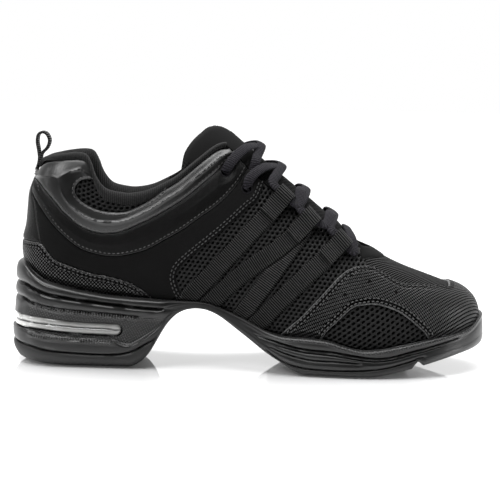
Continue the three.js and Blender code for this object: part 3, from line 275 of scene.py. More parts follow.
# How far the curves are softened, in millimetres
SECTION_BLUR = 2.0
RIDGE_BLUR = 1.2
MIDDLE_BLUR = 4.0
HEEL_BLUR = 1.2
BOTTOM_BLUR = 3.0
LIP_BLUR = 1.0


def section_curve(column, size, blur=SECTION_BLUR):
    return curve(SECTIONS.x, getattr(SECTIONS, column), SHOE_LENGTH, size, blur)


seat_z = section_curve("seat", SHOE_HEIGHT)
belly_z = section_curve("belly", SHOE_HEIGHT)
ridge_z = section_curve("ridge", SHOE_HEIGHT, RIDGE_BLUR)
lateral_half = section_curve("lateral", BALL_WIDTH)
medial_half = section_curve("medial", BALL_WIDTH)
squareness = section_curve("power", 1)
middle_y = curve(MIDDLE_LINE.x, MIDDLE_LINE.shift, SHOE_LENGTH, BALL_WIDTH, MIDDLE_BLUR)
heel_lean = curve(HEEL_CURVE.z, HEEL_CURVE.lean, SHOE_HEIGHT, SHOE_LENGTH, HEEL_BLUR)
bottom_curve = curve(SOLE_PROFILE.x, SOLE_PROFILE.bottom, SHOE_LENGTH, SHOE_HEIGHT, BOTTOM_BLUR)
lip_z = curve(SOLE_PROFILE.x, SOLE_PROFILE.lip, SHOE_LENGTH, SHOE_HEIGHT, LIP_BLUR)

# Small groove across the toe, and the share of the wall that it reaches up
NOTCH_X = 0.8524 * SHOE_LENGTH
NOTCH_HALF = 3.4
NOTCH_DEPTH = 3.2
NOTCH_SHARE = 0.45
NOTCH_FLAT = 1.15


def notch_rise(x):
    """How far the small groove across the toe lifts the sole's underside."""
    return NOTCH_DEPTH * np.clip(NOTCH_FLAT * (1 - np.abs(x - NOTCH_X) / NOTCH_HALF), 0, 1)


def plain_bottom(x):
    return np.maximum(bottom_curve(x), 0)


def bottom_z(x):
    """Height of the sole's underside, with the small groove across the toe."""
    return plain_bottom(x) + notch_rise(x)


def end_round(x):
    """Share of the full width that is left towards the round ends."""
    heel_out = np.clip((HEEL_ROUND - x) / (HEEL_ROUND - HEEL_END), 0, 1)
    toe_out = np.clip((x - TOE_ROUND) / (TOE_END - TOE_ROUND), 0, 1)
    heel = (1 - heel_out ** HEEL_SQUARENESS) ** (1 / HEEL_SQUARENESS)
    toe = (1 - toe_out ** TOE_SQUARENESS) ** (1 / TOE_SQUARENESS)
    return heel * toe


def form_point(x, turn):
    """Point of the upper's outside, where turn is 0 at the ridge and negative on the outer side."""
    side = np.where(turn < 0, -1.0, 1.0)
    from_ridge = np.abs(turn)
    half = np.where(side < 0, lateral_half(x), medial_half(x)) * end_round(x)
    rise = np.maximum(QUARTER - from_ridge, 0)
    under = np.maximum(from_ridge - QUARTER, 0)
    bend = 2 / squareness(x)
    belly, seat, ridge = belly_z(x), seat_z(x), ridge_z(x)
    tucked = 1 - SEAT_TUCK * np.minimum(under, 1) ** 2
    y = half * np.where(under > 0, tucked, np.maximum(np.cos(rise), 0) ** bend)
    z = np.where(under > 0, belly - (belly - seat) * under, belly + (ridge - belly) * np.sin(rise) ** bend)
    out = np.clip((HEEL_ROUND - x) / (HEEL_ROUND - HEEL_END), 0, None)
    lean = heel_lean(z) * out ** 1.5
    return np.stack([x + lean, middle_y(x) + side * y, z], axis=-1)


def turn_at(x, z, side):
    """The turn at which the section at x is as high as z."""
    belly, seat = belly_z(x), seat_z(x)
    share = np.clip((z - belly) / (ridge_z(x) - belly), 0, 1)
    over = QUARTER - np.arcsin(share ** (squareness(x) / 2))
    under = QUARTER + (belly - z) / (belly - seat)
    return side * np.where(z < belly, under, over)


def station(angle):
    return HEEL_END + (TOE_END - HEEL_END) * (1 - np.cos(angle)) / 2


def angle_at(x):
    return np.arccos(np.clip(1 - 2 * (x - HEEL_END) / (TOE_END - HEEL_END), -1, 1))


NORMAL_STEP = 2e-3


def form_normal(angle, turn):
    """Outward direction of the upper's outside."""
    small = NORMAL_STEP
    ahead = form_point(station(np.minimum(angle + small, math.pi)), turn)
    behind = form_point(station(np.maximum(angle - small, 0)), turn)
    across = form_point(station(angle), turn + small) - form_point(station(angle), turn - small)
    normal = np.cross(ahead - behind, across)
    is_end = (angle < small) | (angle > math.pi - small)
    normal[..., 1] = np.where(is_end, 0, normal[..., 1])
    return normal / np.maximum(np.linalg.norm(normal, axis=-1, keepdims=True), TINY)


# Lengths along the belly and down each section, to place things by real distances
ANGLES = np.linspace(0, math.pi, 721)
TURNS = np.linspace(0, SEAT_TURN, 241)
SHARES = np.linspace(0, 1, 201)


def running_length(points, axis=0):
    steps = np.linalg.norm(np.diff(points, axis=axis), axis=-1)
    zero = np.zeros_like(np.take(steps, [0], axis=axis))
    return np.concatenate([zero, np.cumsum(steps, axis=axis)], axis=axis)


BELLY_LENGTHS = running_length(form_point(station(ANGLES), np.full_like(ANGLES, -QUARTER)))
_angle_grid, _turn_grid = np.meshgrid(ANGLES, TURNS, indexing="ij")
_section_lengths = running_length(form_point(station(_angle_grid), -_turn_grid), axis=1)
SECTION_LENGTHS = _section_lengths[:, -1]
TURN_TABLE = np.array([np.interp(SHARES * row[-1], row, TURNS) for row in _section_lengths])


def angle_of(u):
    return np.interp(u, BELLY_LENGTHS, ANGLES)


def angle_reach(x):
    """Length along the belly line up to a station."""
    return float(np.interp(angle_at(np.array(x)), ANGLES, BELLY_LENGTHS))


def section_length(angle):
    return np.interp(angle, ANGLES, SECTION_LENGTHS)


def turn_of(angle, share):
    """The turn at a share of the way down the section from ridge to seat, with the side as its sign."""
    row = np.clip(angle / ANGLES[1], 0, len(ANGLES) - 1.001)
    column = np.clip(np.abs(share) / SHARES[1], 0, len(SHARES) - 1.001)
    i, j = row.astype(int), column.astype(int)
    s, t = row - i, column - j
    low = TURN_TABLE[i, j] * (1 - t) + TURN_TABLE[i, j + 1] * t
    high = TURN_TABLE[i + 1, j] * (1 - t) + TURN_TABLE[i + 1, j + 1] * t
    return np.where(share < 0, -1.0, 1.0) * (low * (1 - s) + high * s)


def upper_surface(u, share):
    """Point, outward direction and texture place of the upper at u along the belly."""
    angle = angle_of(u)
    turn = turn_of(angle, share)
    place = np.stack([u, share * section_length(angle)], axis=-1)
    return form_point(station(angle), turn), form_normal(angle, turn), place


def side_point(x, z, side, offset=0.0):
    """Point over the upper's side at a place of the side view, with its outward direction."""
    x, z = np.asarray(x, float), np.asarray(z, float)
    turn = turn_at(x, z, side)
    normal = form_normal(angle_at(x), turn)
    return form_point(x, turn) + normal * np.reshape(offset, np.shape(offset) + (1,)), normal


# Side wall of the sole
wall_heel = monotone(SOLE_WALL.height, SOLE_WALL.heel * BALL_WIDTH)
wall_rear = monotone(SOLE_WALL.height, SOLE_WALL.rear * BALL_WIDTH)
wall_fore = monotone(SOLE_WALL.height, SOLE_WALL.fore * BALL_WIDTH)
HEEL_BLOCK_X = 0.3 * SHOE_LENGTH
FORE_SOLE_X = 0.5 * SHOE_LENGTH
FULL_WALL = 16.0
BELLY_REACH = BELLY_LENGTHS[-1]

# Grooves of the side wall in the side view, in millimetres, with their depth and half width
GROOVES = [
    ([(-9, 45.5), (5, 45), (12, 42.6), (20, 40.4), (37, 37.8), (60, 35.2), (76, 33.8), (86, 33.4)],
     1.7, 1.25),
    ([(-9, 37.6), (5, 37), (12, 34.8), (18, 33.1), (40, 31.2), (74, 28.8)], 1.3, 1.2),
    ([(-9, 12.9), (5, 11.7), (15, 10), (27, 8.4), (47, 7.4), (62, 7.7), (70, 9.5), (76, 12.6), (83, 17)],
     0.8, 0.8),
    ([(140, 20.4), (152, 17.5), (164, 15), (181, 13.8), (206, 10.9), (226, 14.7), (250, 20.3)], 1.0, 0.75),
    ([(152, 15.6), (166, 13), (182, 11.9), (206, 9.3), (226, 13.1), (240, 16.4)], 0.6, 0.6),
    ([(147, 14.6), (158, 11), (170, 9), (184, 8.6), (196, 8)], 0.5, 0.7),
    ([(146, 12.6), (154, 7.3), (164, 4.6), (181, 3.8), (198, 4.3), (210, 5.7), (220, 8), (230, 10.8)],
     0.6, 0.6),
]
# Round ribs between the grooves, and where along the shoe they fade
RIB_BULGE = 1.3
RIB_HALF = 4.2
RIB_REACH = 9.0
HEEL_FADE = (92, 72)
FORE_FADE = (138, 158)
TOE_FADE = (222, 250)
TOE_CALM = 0.75
# Full round ribs of the heel: the groove under each, and how far it stands out
HEEL_RIBS = [(0, 2.1), (1, 1.6)]
HEEL_RIB_FADE = (96, 84)
HEEL_RIB_SHARE = 0.28
# Sunk field round the clear cell
RECESS = [(14, 32.6), (40, 30.6), (73, 28.6), (85, 27.8), (86.5, 25), (80, 19.3), (69, 12.9), (57, 14.9),
          (16, 17.2)]
RECESS_DEPTH = 0.9
RECESS_EDGE = (-0.8, 1.0)
RECESS_FADE = (13, 22)
RECESS_CALM = 0.8
# Serrated lines over and under the clear cell, each on a bead
TEETH = [[(16.5, 32.3), (40, 30.3), (73, 28.0)], [(17, 16.2), (36, 15.2), (61, 14.2)]]
TOOTH_BEAD = 0.9
TOOTH_HALF = 1.5
# Bead under the lip, forward of the arch
LIP_BEAD = 0.45
LIP_BEAD_DROP = 1.5
LIP_BEAD_HALF = 1.3
LIP_BEAD_FADE = (120, 150)
BATCH = 4000


def smooth_share(value, low, high):
    t = np.clip((value - low) / (high - low), 0, 1)
    return t * t * (3 - 2 * t)


def nearest_distance(places, start, end):
    """Distance from each place to the nearest of the segments."""
    along = end - start
    t = np.sum((places - start) * along, axis=-1) / np.maximum(np.sum(along * along, axis=-1), TINY)
    nearest = start + np.clip(t, 0, 1)[..., None] * along
    return np.sqrt(np.min(np.sum((places - nearest) ** 2, axis=-1), axis=1))


def in_batches(measure, places):
    """What measure gives for many places, a batch at a time."""
    found = np.empty(len(places))
    for first in range(0, len(places), BATCH):
        found[first:first + BATCH] = measure(places[first:first + BATCH, None, :])
    return found


def line_distance(places, line):
    """Distance to an open line of the side view."""
    found = in_batches(lambda some: nearest_distance(some, line[:-1], line[1:]), places.reshape(-1, 2))
    return found.reshape(places.shape[:-1])


def heel_ribs(x, z, lip, plain):
    """Full round ribs of the heel: between the lip and the first groove, and down to the second."""
    bulge = plain
    high = lip
    rear = x < HEEL_RIB_FADE[0]
    for number, most in HEEL_RIBS:
        line = GROOVE_LINES[number][0]
        low = np.interp(x, line[:, 0], line[:, 1])
        t = np.clip((z - low) / np.maximum(high - low, 0.1), 0, 1)
        size = np.minimum(most, HEEL_RIB_SHARE * np.maximum(high - low, 0)) * smooth_share(x, *HEEL_RIB_FADE)
        round_rib = size * np.sqrt(np.maximum(1 - (2 * t - 1) ** 2, 0))
        bulge = np.where((z > low) & (z <= high + 0.01) & rear, round_rib, bulge)
        high = low
    return bulge


def grooved(x, z, lip, share_of_wall):
    """How far grooves, the round ribs between them and the sunk field move the wall out."""
    places = np.stack([x, z], axis=-1)
    nearest = np.minimum(np.maximum(lip - z, 0), RIB_REACH)
    cut = np.zeros_like(x)
    for rows, depth, half in GROOVE_LINES:
        distance = line_distance(places, rows)
        nearest = np.minimum(nearest, distance)
        near = np.clip(1 - distance / half, 0, 1)
        cut = np.maximum(cut, depth * near * near * (3 - 2 * near))
    t = np.clip(nearest / RIB_HALF, 0, 1)
    fore = smooth_share(x, *FORE_FADE) * (1 - TOE_CALM * smooth_share(x, *TOE_FADE))
    bulge = RIB_BULGE * np.sqrt(np.maximum(1 - (1 - t) ** 2, 0)) * (smooth_share(x, *HEEL_FADE) + fore)
    bulge = heel_ribs(x, z, lip, bulge)
    inside_recess = smooth_share(recess_field(np.stack([x, 0 * x, z], axis=-1)), *RECESS_EDGE)
    sunk = RECESS_DEPTH * inside_recess * smooth_share(x, *RECESS_FADE)
    beads = np.zeros_like(x)
    for line in TOOTH_LINES:
        distance = line_distance(places, line)
        beads = np.maximum(beads, TOOTH_BEAD * np.maximum(1 - (distance / TOOTH_HALF) ** 2, 0))
    under_lip = np.clip(1 - np.abs(lip - z - LIP_BEAD_DROP) / LIP_BEAD_HALF, 0, 1)
    bead = LIP_BEAD * under_lip * smooth_share(x, *LIP_BEAD_FADE)
    return (bulge * (1 - RECESS_CALM * inside_recess) - cut) * share_of_wall - sunk + bead + beads


def wall_surface(u, height):
    """Point and outward direction of the sole's side wall. u is positive on the outer side."""
    angle = angle_of(np.abs(u))
    side = np.where(u > 0, -1.0, 1.0)
    x = station(angle)
    edge = form_point(x, side * QUARTER)
    normal = form_normal(angle, side * QUARTER)
    normal[..., 2] = 0
    normal /= np.linalg.norm(normal, axis=-1, keepdims=True)
    share = smooth_share(edge[..., 0], HEEL_BLOCK_X, FORE_SOLE_X)
    rear = np.maximum(-normal[..., 0], 0) * (edge[..., 0] < HEEL_ROUND)
    wall = lip_z(edge[..., 0]) - plain_bottom(edge[..., 0])
    relief = np.minimum(wall / FULL_WALL, 1)
    plain = RIM_WALL + GAP
    full = (1 - share) * wall_heel(height) + share * wall_fore(height) + rear * wall_rear(height)
    low, high = plain_bottom(edge[..., 0]), lip_z(edge[..., 0])
    out = plain + (full - plain) * relief
    out = out + grooved(edge[..., 0], low + wall * height, high, relief)
    point = edge + normal * out[..., None]
    low, high = plain_bottom(point[..., 0]), lip_z(point[..., 0])
    rise = notch_rise(point[..., 0]) * np.clip(1 - height / NOTCH_SHARE, 0, 1)
    point[..., 2] = low + (high - low) * height + rise
    place = np.stack([u, point[..., 2]], axis=-1)
    return point, normal, place


# Regions, as signed distances in a view: inside is positive
VIEWS = {"side": (0, 2), "top": (0, 1), "back": (1, 2)}


def smooth_outline(points, closed=False, step=1.3):
    """Catmull-Rom curve through points, about a step between its points."""
    points = np.asarray(points, float)
    before = points[-1] if closed else 2 * points[0] - points[1]
    ends = [points[0], points[1]] if closed else [2 * points[-1] - points[-2]]
    row = np.concatenate([[before], points, ends])
    made = []
    for a, b, c, d in zip(row, row[1:], row[2:], row[3:]):
        count = max(2, int(np.linalg.norm(c - b) / step))
        t = (np.arange(count) / count)[:, None]
        cubic = 2 * b + (c - a) * t + (2 * a - 5 * b + 4 * c - d) * t ** 2
        made.append(0.5 * (cubic + (3 * b - a - 3 * c + d) * t ** 3))
    if not closed:
        made.append(points[-1:])
    return np.concatenate(made)


def side_line(rows, lift=0.0):
    """A table's line in the side view, in millimetres, smooth."""
    line = np.stack([rows.x * SHOE_LENGTH, rows.z * SHOE_HEIGHT + lift], axis=-1)
    return smooth_outline(line)


def polygon_field(outline, view="side"):
    """Signed distance to a closed outline of a view, positive inside."""
    axes = VIEWS[view]
    start = np.asarray(outline, float)
    end = np.roll(start, -1, axis=0)

    def signed(places):
        distance = nearest_distance(places, start, end)
        straddles = (start[:, 1] > places[..., 1]) != (end[:, 1] > places[..., 1])
        rise = np.where(end[:, 1] == start[:, 1], TINY, end[:, 1] - start[:, 1])
        crossing = start[:, 0] + (places[..., 1] - start[:, 1]) * (end[:, 0] - start[:, 0]) / rise
        inside = np.sum(straddles & (places[..., 0] < crossing), axis=1) % 2 == 1
        return np.where(inside, distance, -distance)

    def field(points):
        return in_batches(signed, points[..., axes].reshape(-1, 2)).reshape(points.shape[:-1])

    return field


TOOTH_LINES = [smooth_outline(rows, step=2.0) for rows in TEETH]
GROOVE_LINES = [(smooth_outline(rows, step=2.0), depth, half) for rows, depth, half in GROOVES]
recess_field = polygon_field(smooth_outline(RECESS, closed=True, step=2.0))


def beyond(rows, lift, height):
    """Region of the side view between a table's line and a far height."""
    line = side_line(rows, lift)
    return polygon_field(np.concatenate([line, [[line[-1, 0], height], [line[0, 0], height]]]))


def above(rows, lift=0.0):
    return beyond(rows, lift, HIGH)


def below(rows, lift=0.0):
    return beyond(rows, lift, -HIGH)


def no_more_than(field, spare=0.0):
    return lambda points: -field(points) - spare


def all_of(*fields):
    return lambda points: np.min([field(points) for field in fields], axis=0)


def everywhere(distance):
    """Region without a border, where the distance to it counts as the one given."""
    return lambda points: np.full(points.shape[:-1], distance)


def on_side(side):
    return lambda points: side * points[..., 1]


# Limits of a field's slope over the surface, and the distances over which it is measured
SLOPE_LOW = 0.3
SLOPE_HIGH = 1.3
SLOPE_FADE = (12, 4)


def real_distance(field, points):
    """A view's signed distance as measured over the surface, near the border."""
    value = field(points)
    slopes = []
    for axis in (0, 1):
        rise = np.gradient(value, axis=axis)
        run = np.linalg.norm(np.gradient(points, axis=axis), axis=-1)
        slopes.append(rise / np.maximum(run, 1e-9))
    steep = np.clip(np.hypot(*slopes), SLOPE_LOW, SLOPE_HIGH)
    near = smooth_share(np.abs(value), *SLOPE_FADE)
    return value / (1 + (steep - 1) * near)


# Meshes from surfaces
class Mesh:
    """Points in millimetres with faces, texture places and the distance to the piece's edge."""

    def __init__(self, points, faces, places=None, edges=None):
        self.points = np.asarray(points, float).reshape(-1, 3)
        self.faces = faces
        self.places = np.zeros((len(self.points), 2)) if places is None else np.asarray(places, float)
        self.edges = np.full(len(self.points), 9.0) if edges is None else np.asarray(edges, float)


def joined(meshes):
    """One mesh of several."""
    counts = np.cumsum([0] + [len(mesh.points) for mesh in meshes])
    faces = [tuple(i + start for i in face) for mesh, start in zip(meshes, counts) for face in mesh.faces]
    points, places, edges = (np.concatenate([getattr(mesh, key) for mesh in meshes])
                             for key in ("points", "places", "edges"))
    return Mesh(points, faces, places, edges)


def grid_faces(rows, columns, ring_rows=False, ring_columns=False, columns_first=False):
    """Faces of a grid of points numbered row by row. A ring's last row or column joins its first."""
    faces = []
    for i in range(rows if ring_rows else rows - 1):
        k = (i + 1) % rows
        for j in range(columns if ring_columns else columns - 1):
            m = (j + 1) % columns
            corners = ((i, j), (i, m), (k, m), (k, j)) if columns_first else ((i, j), (k, j), (k, m), (i, m))
            faces.append(tuple(row * columns + column for row, column in corners))
    return faces


def grid_places(*places):
    """Texture places of a grid's points."""
    return np.stack(np.broadcast_arrays(*places), axis=-1).reshape(-1, 2)


# Share of a cell within which a grid point moves onto the border
SNAP = 0.3
WELD = 1e-3


def marched(value, first, second):
    """Faces of a grid where value is positive, with the border cells cut along its zero line.

    Gives each vertex's two coordinates and its value, and the faces.
    """
    rise_first, rise_second = np.gradient(value)
    steep = rise_first ** 2 + rise_second ** 2
    near = (np.abs(value) < SNAP * np.sqrt(steep)) & (steep > 0)
    safe = np.where(steep > 0, steep, 1)
    shift_first = np.where(near, -value * rise_first / safe, 0)
    shift_second = np.where(near, -value * rise_second / safe, 0)
    shift_first[[0, -1], :] = 0
    shift_second[:, [0, -1]] = 0
    value = np.where(near, 0.0, value)
    grid_first = first[:, None] + shift_first * (first[1] - first[0])
    grid_second = second[None, :] + shift_second * (second[1] - second[0])
    ids = np.arange(value.size).reshape(value.shape)
    corners = np.stack([ids[:-1, :-1], ids[1:, :-1], ids[1:, 1:], ids[:-1, 1:]], axis=-1).reshape(-1, 4)
    at_corners = value.reshape(-1)[corners]
    whole = np.all(at_corners >= 0, axis=1) & np.any(at_corners > 0, axis=1)
    faces = [tuple(face) for face in corners[whole].tolist()]
    mixed = np.any(at_corners < 0, axis=1) & np.any(at_corners > 0, axis=1)
    flat = value.reshape(-1)
    crossings = {}
    extra = []
    for face in corners[mixed].tolist():
        outline = []
        for a, b in zip(face, face[1:] + face[:1]):
            value_a, value_b = flat[a], flat[b]
            if value_a >= 0:
                outline.append(a)
            if value_a * value_b < 0:
                key = (min(a, b), max(a, b))
                if key not in crossings:
                    share = flat[key[0]] / (flat[key[0]] - flat[key[1]])
                    crossings[key] = value.size + len(extra)
                    extra.append((key[0], key[1], share))
                outline.append(crossings[key])
        if len(outline) >= 3:
            faces.append(tuple(outline))
    coordinates = np.stack([grid_first, grid_second], axis=-1).reshape(-1, 2)
    values = flat
    if extra:
        start, end, share = (np.array(column) for column in zip(*extra))
        share = share[:, None]
        between = coordinates[start] * (1 - share) + coordinates[end] * share
        coordinates = np.concatenate([coordinates, between])
        values = np.concatenate([flat, np.zeros(len(extra))])
    used = np.unique(np.concatenate([np.asarray(face) for face in faces])) if faces else np.array([], int)
    renumber = np.full(len(values), -1)
    renumber[used] = np.arange(len(used))
    faces = [tuple(renumber[list(face)].tolist()) for face in faces]
    return coordinates[used], values[used], faces


def welded(points, faces):
    """Faces with the points at one place made one, and without those that close up."""
    keys = np.round(points / WELD).astype(np.int64)
    _, first, inverse = np.unique(keys, axis=0, return_index=True, return_inverse=True)
    target = first[inverse.reshape(-1)]
    made = []
    for face in faces:
        corners = [int(target[i]) for i in face]
        kept = [c for c, before in zip(corners, corners[-1:] + corners[:-1]) if c != before]
        if len(set(kept)) >= 3:
            made.append(tuple(kept))
    return made


def border_edges(faces):
    """Directed edges that only one face has."""
    pairs = {}
    for face in faces:
        for a, b in zip(face, face[1:] + face[:1]):
            pairs[(a, b)] = True
    return [(a, b) for a, b in pairs if (b, a) not in pairs]


def thickened(outer, inner, faces, places, edges, borders, closed=True):
    """Mesh of an outer face, walls along its borders and, where closed, an inner face."""
    count = len(outer)
    walls = [(b, a, a + count, b + count) for a, b in borders]
    backs = [tuple(i + count for i in reversed(face)) for face in faces] if closed else []
    return Mesh(
        np.concatenate([outer, inner]),
        faces + walls + backs,
        np.concatenate([places, places]),
        np.concatenate([edges, np.zeros(count)]),
    )


def shell(surface, field, firsts, seconds, top, bottom, closed=True, holes=None, straight=False):
    """Piece over a surface, where field is positive.

    top gives the outer face's height over the surface from the distance to the edge, and bottom is the
    height of the inner face. holes is a field that is negative in small holes.
    """
    grid_first, grid_second = np.meshgrid(firsts, seconds, indexing="ij")
    points, _, _ = surface(grid_first, grid_second)
    value = real_distance(field, points)
    if straight:
        value = band_distance(value, grid_second, seconds)
    if holes is not None:
        value = np.minimum(value, holes(points))
    coordinates, edges, faces = marched(value, firsts, seconds)
    points, normals, places = surface(coordinates[:, 0], coordinates[:, 1])
    faces = welded(points, faces)
    outer = points + normals * top(edges)[:, None]
    return thickened(outer, points + normals * bottom, faces, places, edges, border_edges(faces), closed)


def band_distance(value, across, seconds):
    """Distances inside a band, where its own long edges count too."""
    half = max(seconds)
    inside = half - np.abs(across)
    return np.where(value > 0, np.minimum(value, np.maximum(inside, 1e-3)), value)


COARSE_ROWS = 110
COARSE_COLUMNS = 90
REGION_SPARE = 4


def grid_of(field, step, surface, u_range, share_range):
    """Grid coordinates of a fine grid that just holds the field's positive part."""
    us = np.linspace(*u_range, COARSE_ROWS)
    shares = np.linspace(*share_range, COARSE_COLUMNS)
    coarse_u, coarse_share = np.meshgrid(us, shares, indexing="ij")
    points, _, _ = surface(coarse_u, coarse_share)
    inside = field(points) > -REGION_SPARE
    rows, columns = np.where(inside.any(axis=1))[0], np.where(inside.any(axis=0))[0]
    u_low, u_high = us[max(rows[0] - 1, 0)], us[min(rows[-1] + 1, len(us) - 1)]
    low, high = shares[max(columns[0] - 1, 0)], shares[min(columns[-1] + 1, len(shares) - 1)]
    length = running_length(points, axis=1)
    longest = (length[:, -1] * inside.any(axis=1)).max() / (share_range[1] - share_range[0])
    share_step = step / longest
    first = np.linspace(u_low, u_high, max(int((u_high - u_low) / step), 4))
    second = np.arange(math.floor(low / share_step), math.ceil(high / share_step) + 1) * share_step
    return first, np.clip(second, share_range[0], share_range[1])


# Shared cutters
COLLAR_EDGE = side_line(COLLAR_LINE)
COLLAR_FRONT_X = COLLAR_LINE.x[-1] * SHOE_LENGTH


def collar_opening(lift):
    line = COLLAR_EDGE + [0, lift]
    ends = [[COLLAR_FRONT_X, HIGH], [-FAR, HIGH], [-FAR, line[0, 1]]]
    return polygon_field(np.concatenate([line, ends]))


def plan_outline(rows):
    """Outline seen from above that is as wide as the rows say."""
    xs, halves = rows.x * SHOE_LENGTH, rows.half * BALL_WIDTH
    outer = np.stack([xs, middle_y(xs) - halves], axis=-1)
    inner = np.stack([xs, middle_y(xs) + halves], axis=-1)[::-1]
    middle = 1 if halves[-1] == 0 else 0
    return smooth_outline(np.concatenate([outer, inner[middle:]]))


throat_opening = polygon_field(plan_outline(THROAT_SHAPE), "top")
guard_base_plan = polygon_field(plan_outline(THROAT_GUARD_SHAPE), "top")


def backstay_plan():
    right = np.stack([BACKSTAY_SHAPE.half * BALL_WIDTH, BACKSTAY_SHAPE.z * SHOE_HEIGHT], axis=-1)
    left = right[::-1] * [-1, 1]
    return polygon_field(np.concatenate([smooth_outline(right), smooth_outline(left)]), "back")


backstay_outline = backstay_plan()


def backstay_region(points):
    return np.minimum(backstay_outline(points), BACKSTAY_FRONT_X - points[..., 0])


LIP_GAP = 0.35
OPENING_EDGE = 1.0


def above_lip(points):
    return points[..., 2] - lip_z(points[..., 0]) - LIP_GAP


def side_polygon(line, *ends):
    return polygon_field(np.concatenate([side_line(line), ends]))


guard_outline = side_polygon(GUARD_TOP, [FAR, GUARD_TOP.z[-1] * SHOE_HEIGHT], [FAR, -HIGH],
                             [GUARD_TOP.x[0] * SHOE_LENGTH, -HIGH])
guard_window = polygon_field(side_line(GUARD_WINDOW))
collar_window = polygon_field(side_line(COLLAR_WINDOW))
quarter_outline = side_polygon(QUARTER_FRONT, [-FAR, HIGH], [-FAR, -HIGH],
                               [QUARTER_FRONT.x[0] * SHOE_LENGTH, -HIGH])
throat_clear = no_more_than(throat_opening, OPENING_EDGE)
collar_clear = no_more_than(collar_opening(-OPENING_EDGE))
band_seam = above(BAND_SEAM)
quarter_seam = above(QUARTER_SEAM)

EYELET_RADIUS = 2.4
EYELET_PLACES = np.stack([EYELETS.x * SHOE_LENGTH, EYELETS.z * SHOE_HEIGHT], axis=-1)


def eyelet_holes(points):
    """Distance outside the eyelets, on both sides."""
    found = np.full(points.shape[:-1], FAR)
    for side, _ in SIDES:
        for x, z in EYELET_PLACES:
            centre, _ = side_point(x, z, side)
            found = np.minimum(found, np.linalg.norm(points - centre, axis=-1) - EYELET_RADIUS)
    return found


SEAM = GAP / 2
EDGE_ROUND = 0.9
OVERLAY_TOP = GAP + OVERLAY_WALL


def rounded(edges, radius, low, high):
    """Height over a piece's edge: a quarter round from low to high."""
    t = np.clip(1 - edges / radius, 0, 1)
    return low + (high - low) * np.sqrt(1 - t * t)


def leather_top(edges):
    return rounded(edges, EDGE_ROUND, GAP + 0.4, OVERLAY_TOP)


def overlay(field, step=1.0, top=leather_top, bottom=GAP, surface=upper_surface, **kept):
    shares = kept.pop("shares", (-1, 1))
    us = kept.pop("us", (0, BELLY_REACH))
    firsts, seconds = grid_of(field, step, surface, us, shares)
    return shell(surface, field, firsts, seconds, top, bottom, **kept)


def leather_field(*fields):
    """A leather piece's region: above the lip and clear of the collar, the throat and the eyelets."""
    return all_of(above_lip, collar_clear, throat_clear, eyelet_holes, *fields)


# Straps: ribbons over the side
class Ribbon:
    """Band of the side view around a middle line, as a surface of length along and place across."""

    SPARE = 6.0
    STEP = 0.5

    def __init__(self, rows, side, width):
        line = smooth_outline(np.stack([rows.x * SHOE_LENGTH, rows.z * SHOE_HEIGHT], axis=-1))
        after = line[-1] + (line[-1] - line[-2]) / np.linalg.norm(line[-1] - line[-2]) * self.SPARE
        before = line[0] + (line[0] - line[1]) / np.linalg.norm(line[0] - line[1]) * self.SPARE
        self.line = np.concatenate([[before], line, [after]])
        self.side, self.width = side, width
        self.lengths = running_length(self.line)
        middle, _ = side_point(self.line[:, 0], self.line[:, 1], side)
        self.real = running_length(middle)

    def length(self):
        """Real length up to the end of the middle line."""
        return self.real[-2]

    def middle(self, flat):
        """Place of the side view at a length along the middle line."""
        return np.stack([np.interp(flat, self.lengths, self.line[:, axis]) for axis in (0, 1)], axis=-1)

    def surface(self, along, across):
        flat = np.interp(along, self.real, self.lengths)
        here = self.middle(flat)
        tangent = self.middle(flat + self.STEP) - self.middle(flat - self.STEP)
        tangent /= np.linalg.norm(tangent, axis=-1, keepdims=True)
        x = here[..., 0] - tangent[..., 1] * across
        z = here[..., 1] + tangent[..., 0] * across
        point, normal = side_point(x, z, self.side)
        return point, normal, np.stack([across, along], axis=-1)

    def field(self, points):
        """Signed distance to the band's outline in the side view."""
        ahead = np.gradient(self.line, axis=0)
        ahead /= np.linalg.norm(ahead, axis=1, keepdims=True)
        across = np.stack([-ahead[:, 1], ahead[:, 0]], axis=-1) * self.width / 2
        outline = np.concatenate([self.line + across, (self.line - across)[::-1]])
        return polygon_field(outline)(points)


def ribbon_shell(ribbon, field, top, bottom, step=0.8, columns=13):
    """Closed band over a ribbon, cut by field."""
    firsts = np.arange(0, ribbon.length() + step / 2, step)
    seconds = np.linspace(-ribbon.width / 2, ribbon.width / 2, columns)
    return shell(ribbon.surface, field, firsts, seconds, top, bottom, straight=True)


def tube(path, section, wide_of):
    """Closed section swept along a path of points. wide_of gives each point's broad direction."""
    path = np.asarray(path, float)
    along = np.gradient(path, axis=0)
    along /= np.linalg.norm(along, axis=1, keepdims=True)
    wide = np.cross(along, wide_of(path))
    wide /= np.linalg.norm(wide, axis=1, keepdims=True)
    thick = np.cross(wide, along)
    section = np.asarray(section, float)
    across = wide[:, None, :] * section[None, :, :1]
    rings = path[:, None, :] + across + thick[:, None, :] * section[None, :, 1:]
    count, sides = rings.shape[:2]
    faces = grid_faces(count, sides, ring_columns=True)
    faces.append(tuple(range(sides)))
    faces.append(tuple((count - 1) * sides + j for j in reversed(range(sides))))
    places = grid_places(running_length(section)[None, :], running_length(path)[:, None])
    return Mesh(rings.reshape(-1, 3), faces, places)


def oval(width, thickness, power=2.6, count=14):
    angles = np.arange(count) / count * 2 * math.pi
    c, s = np.cos(angles), np.sin(angles)
    round_c = np.sign(c) * np.abs(c) ** (2 / power)
    round_s = np.sign(s) * np.abs(s) ** (2 / power)
    return np.stack([round_c * width / 2, round_s * thickness / 2], axis=-1)


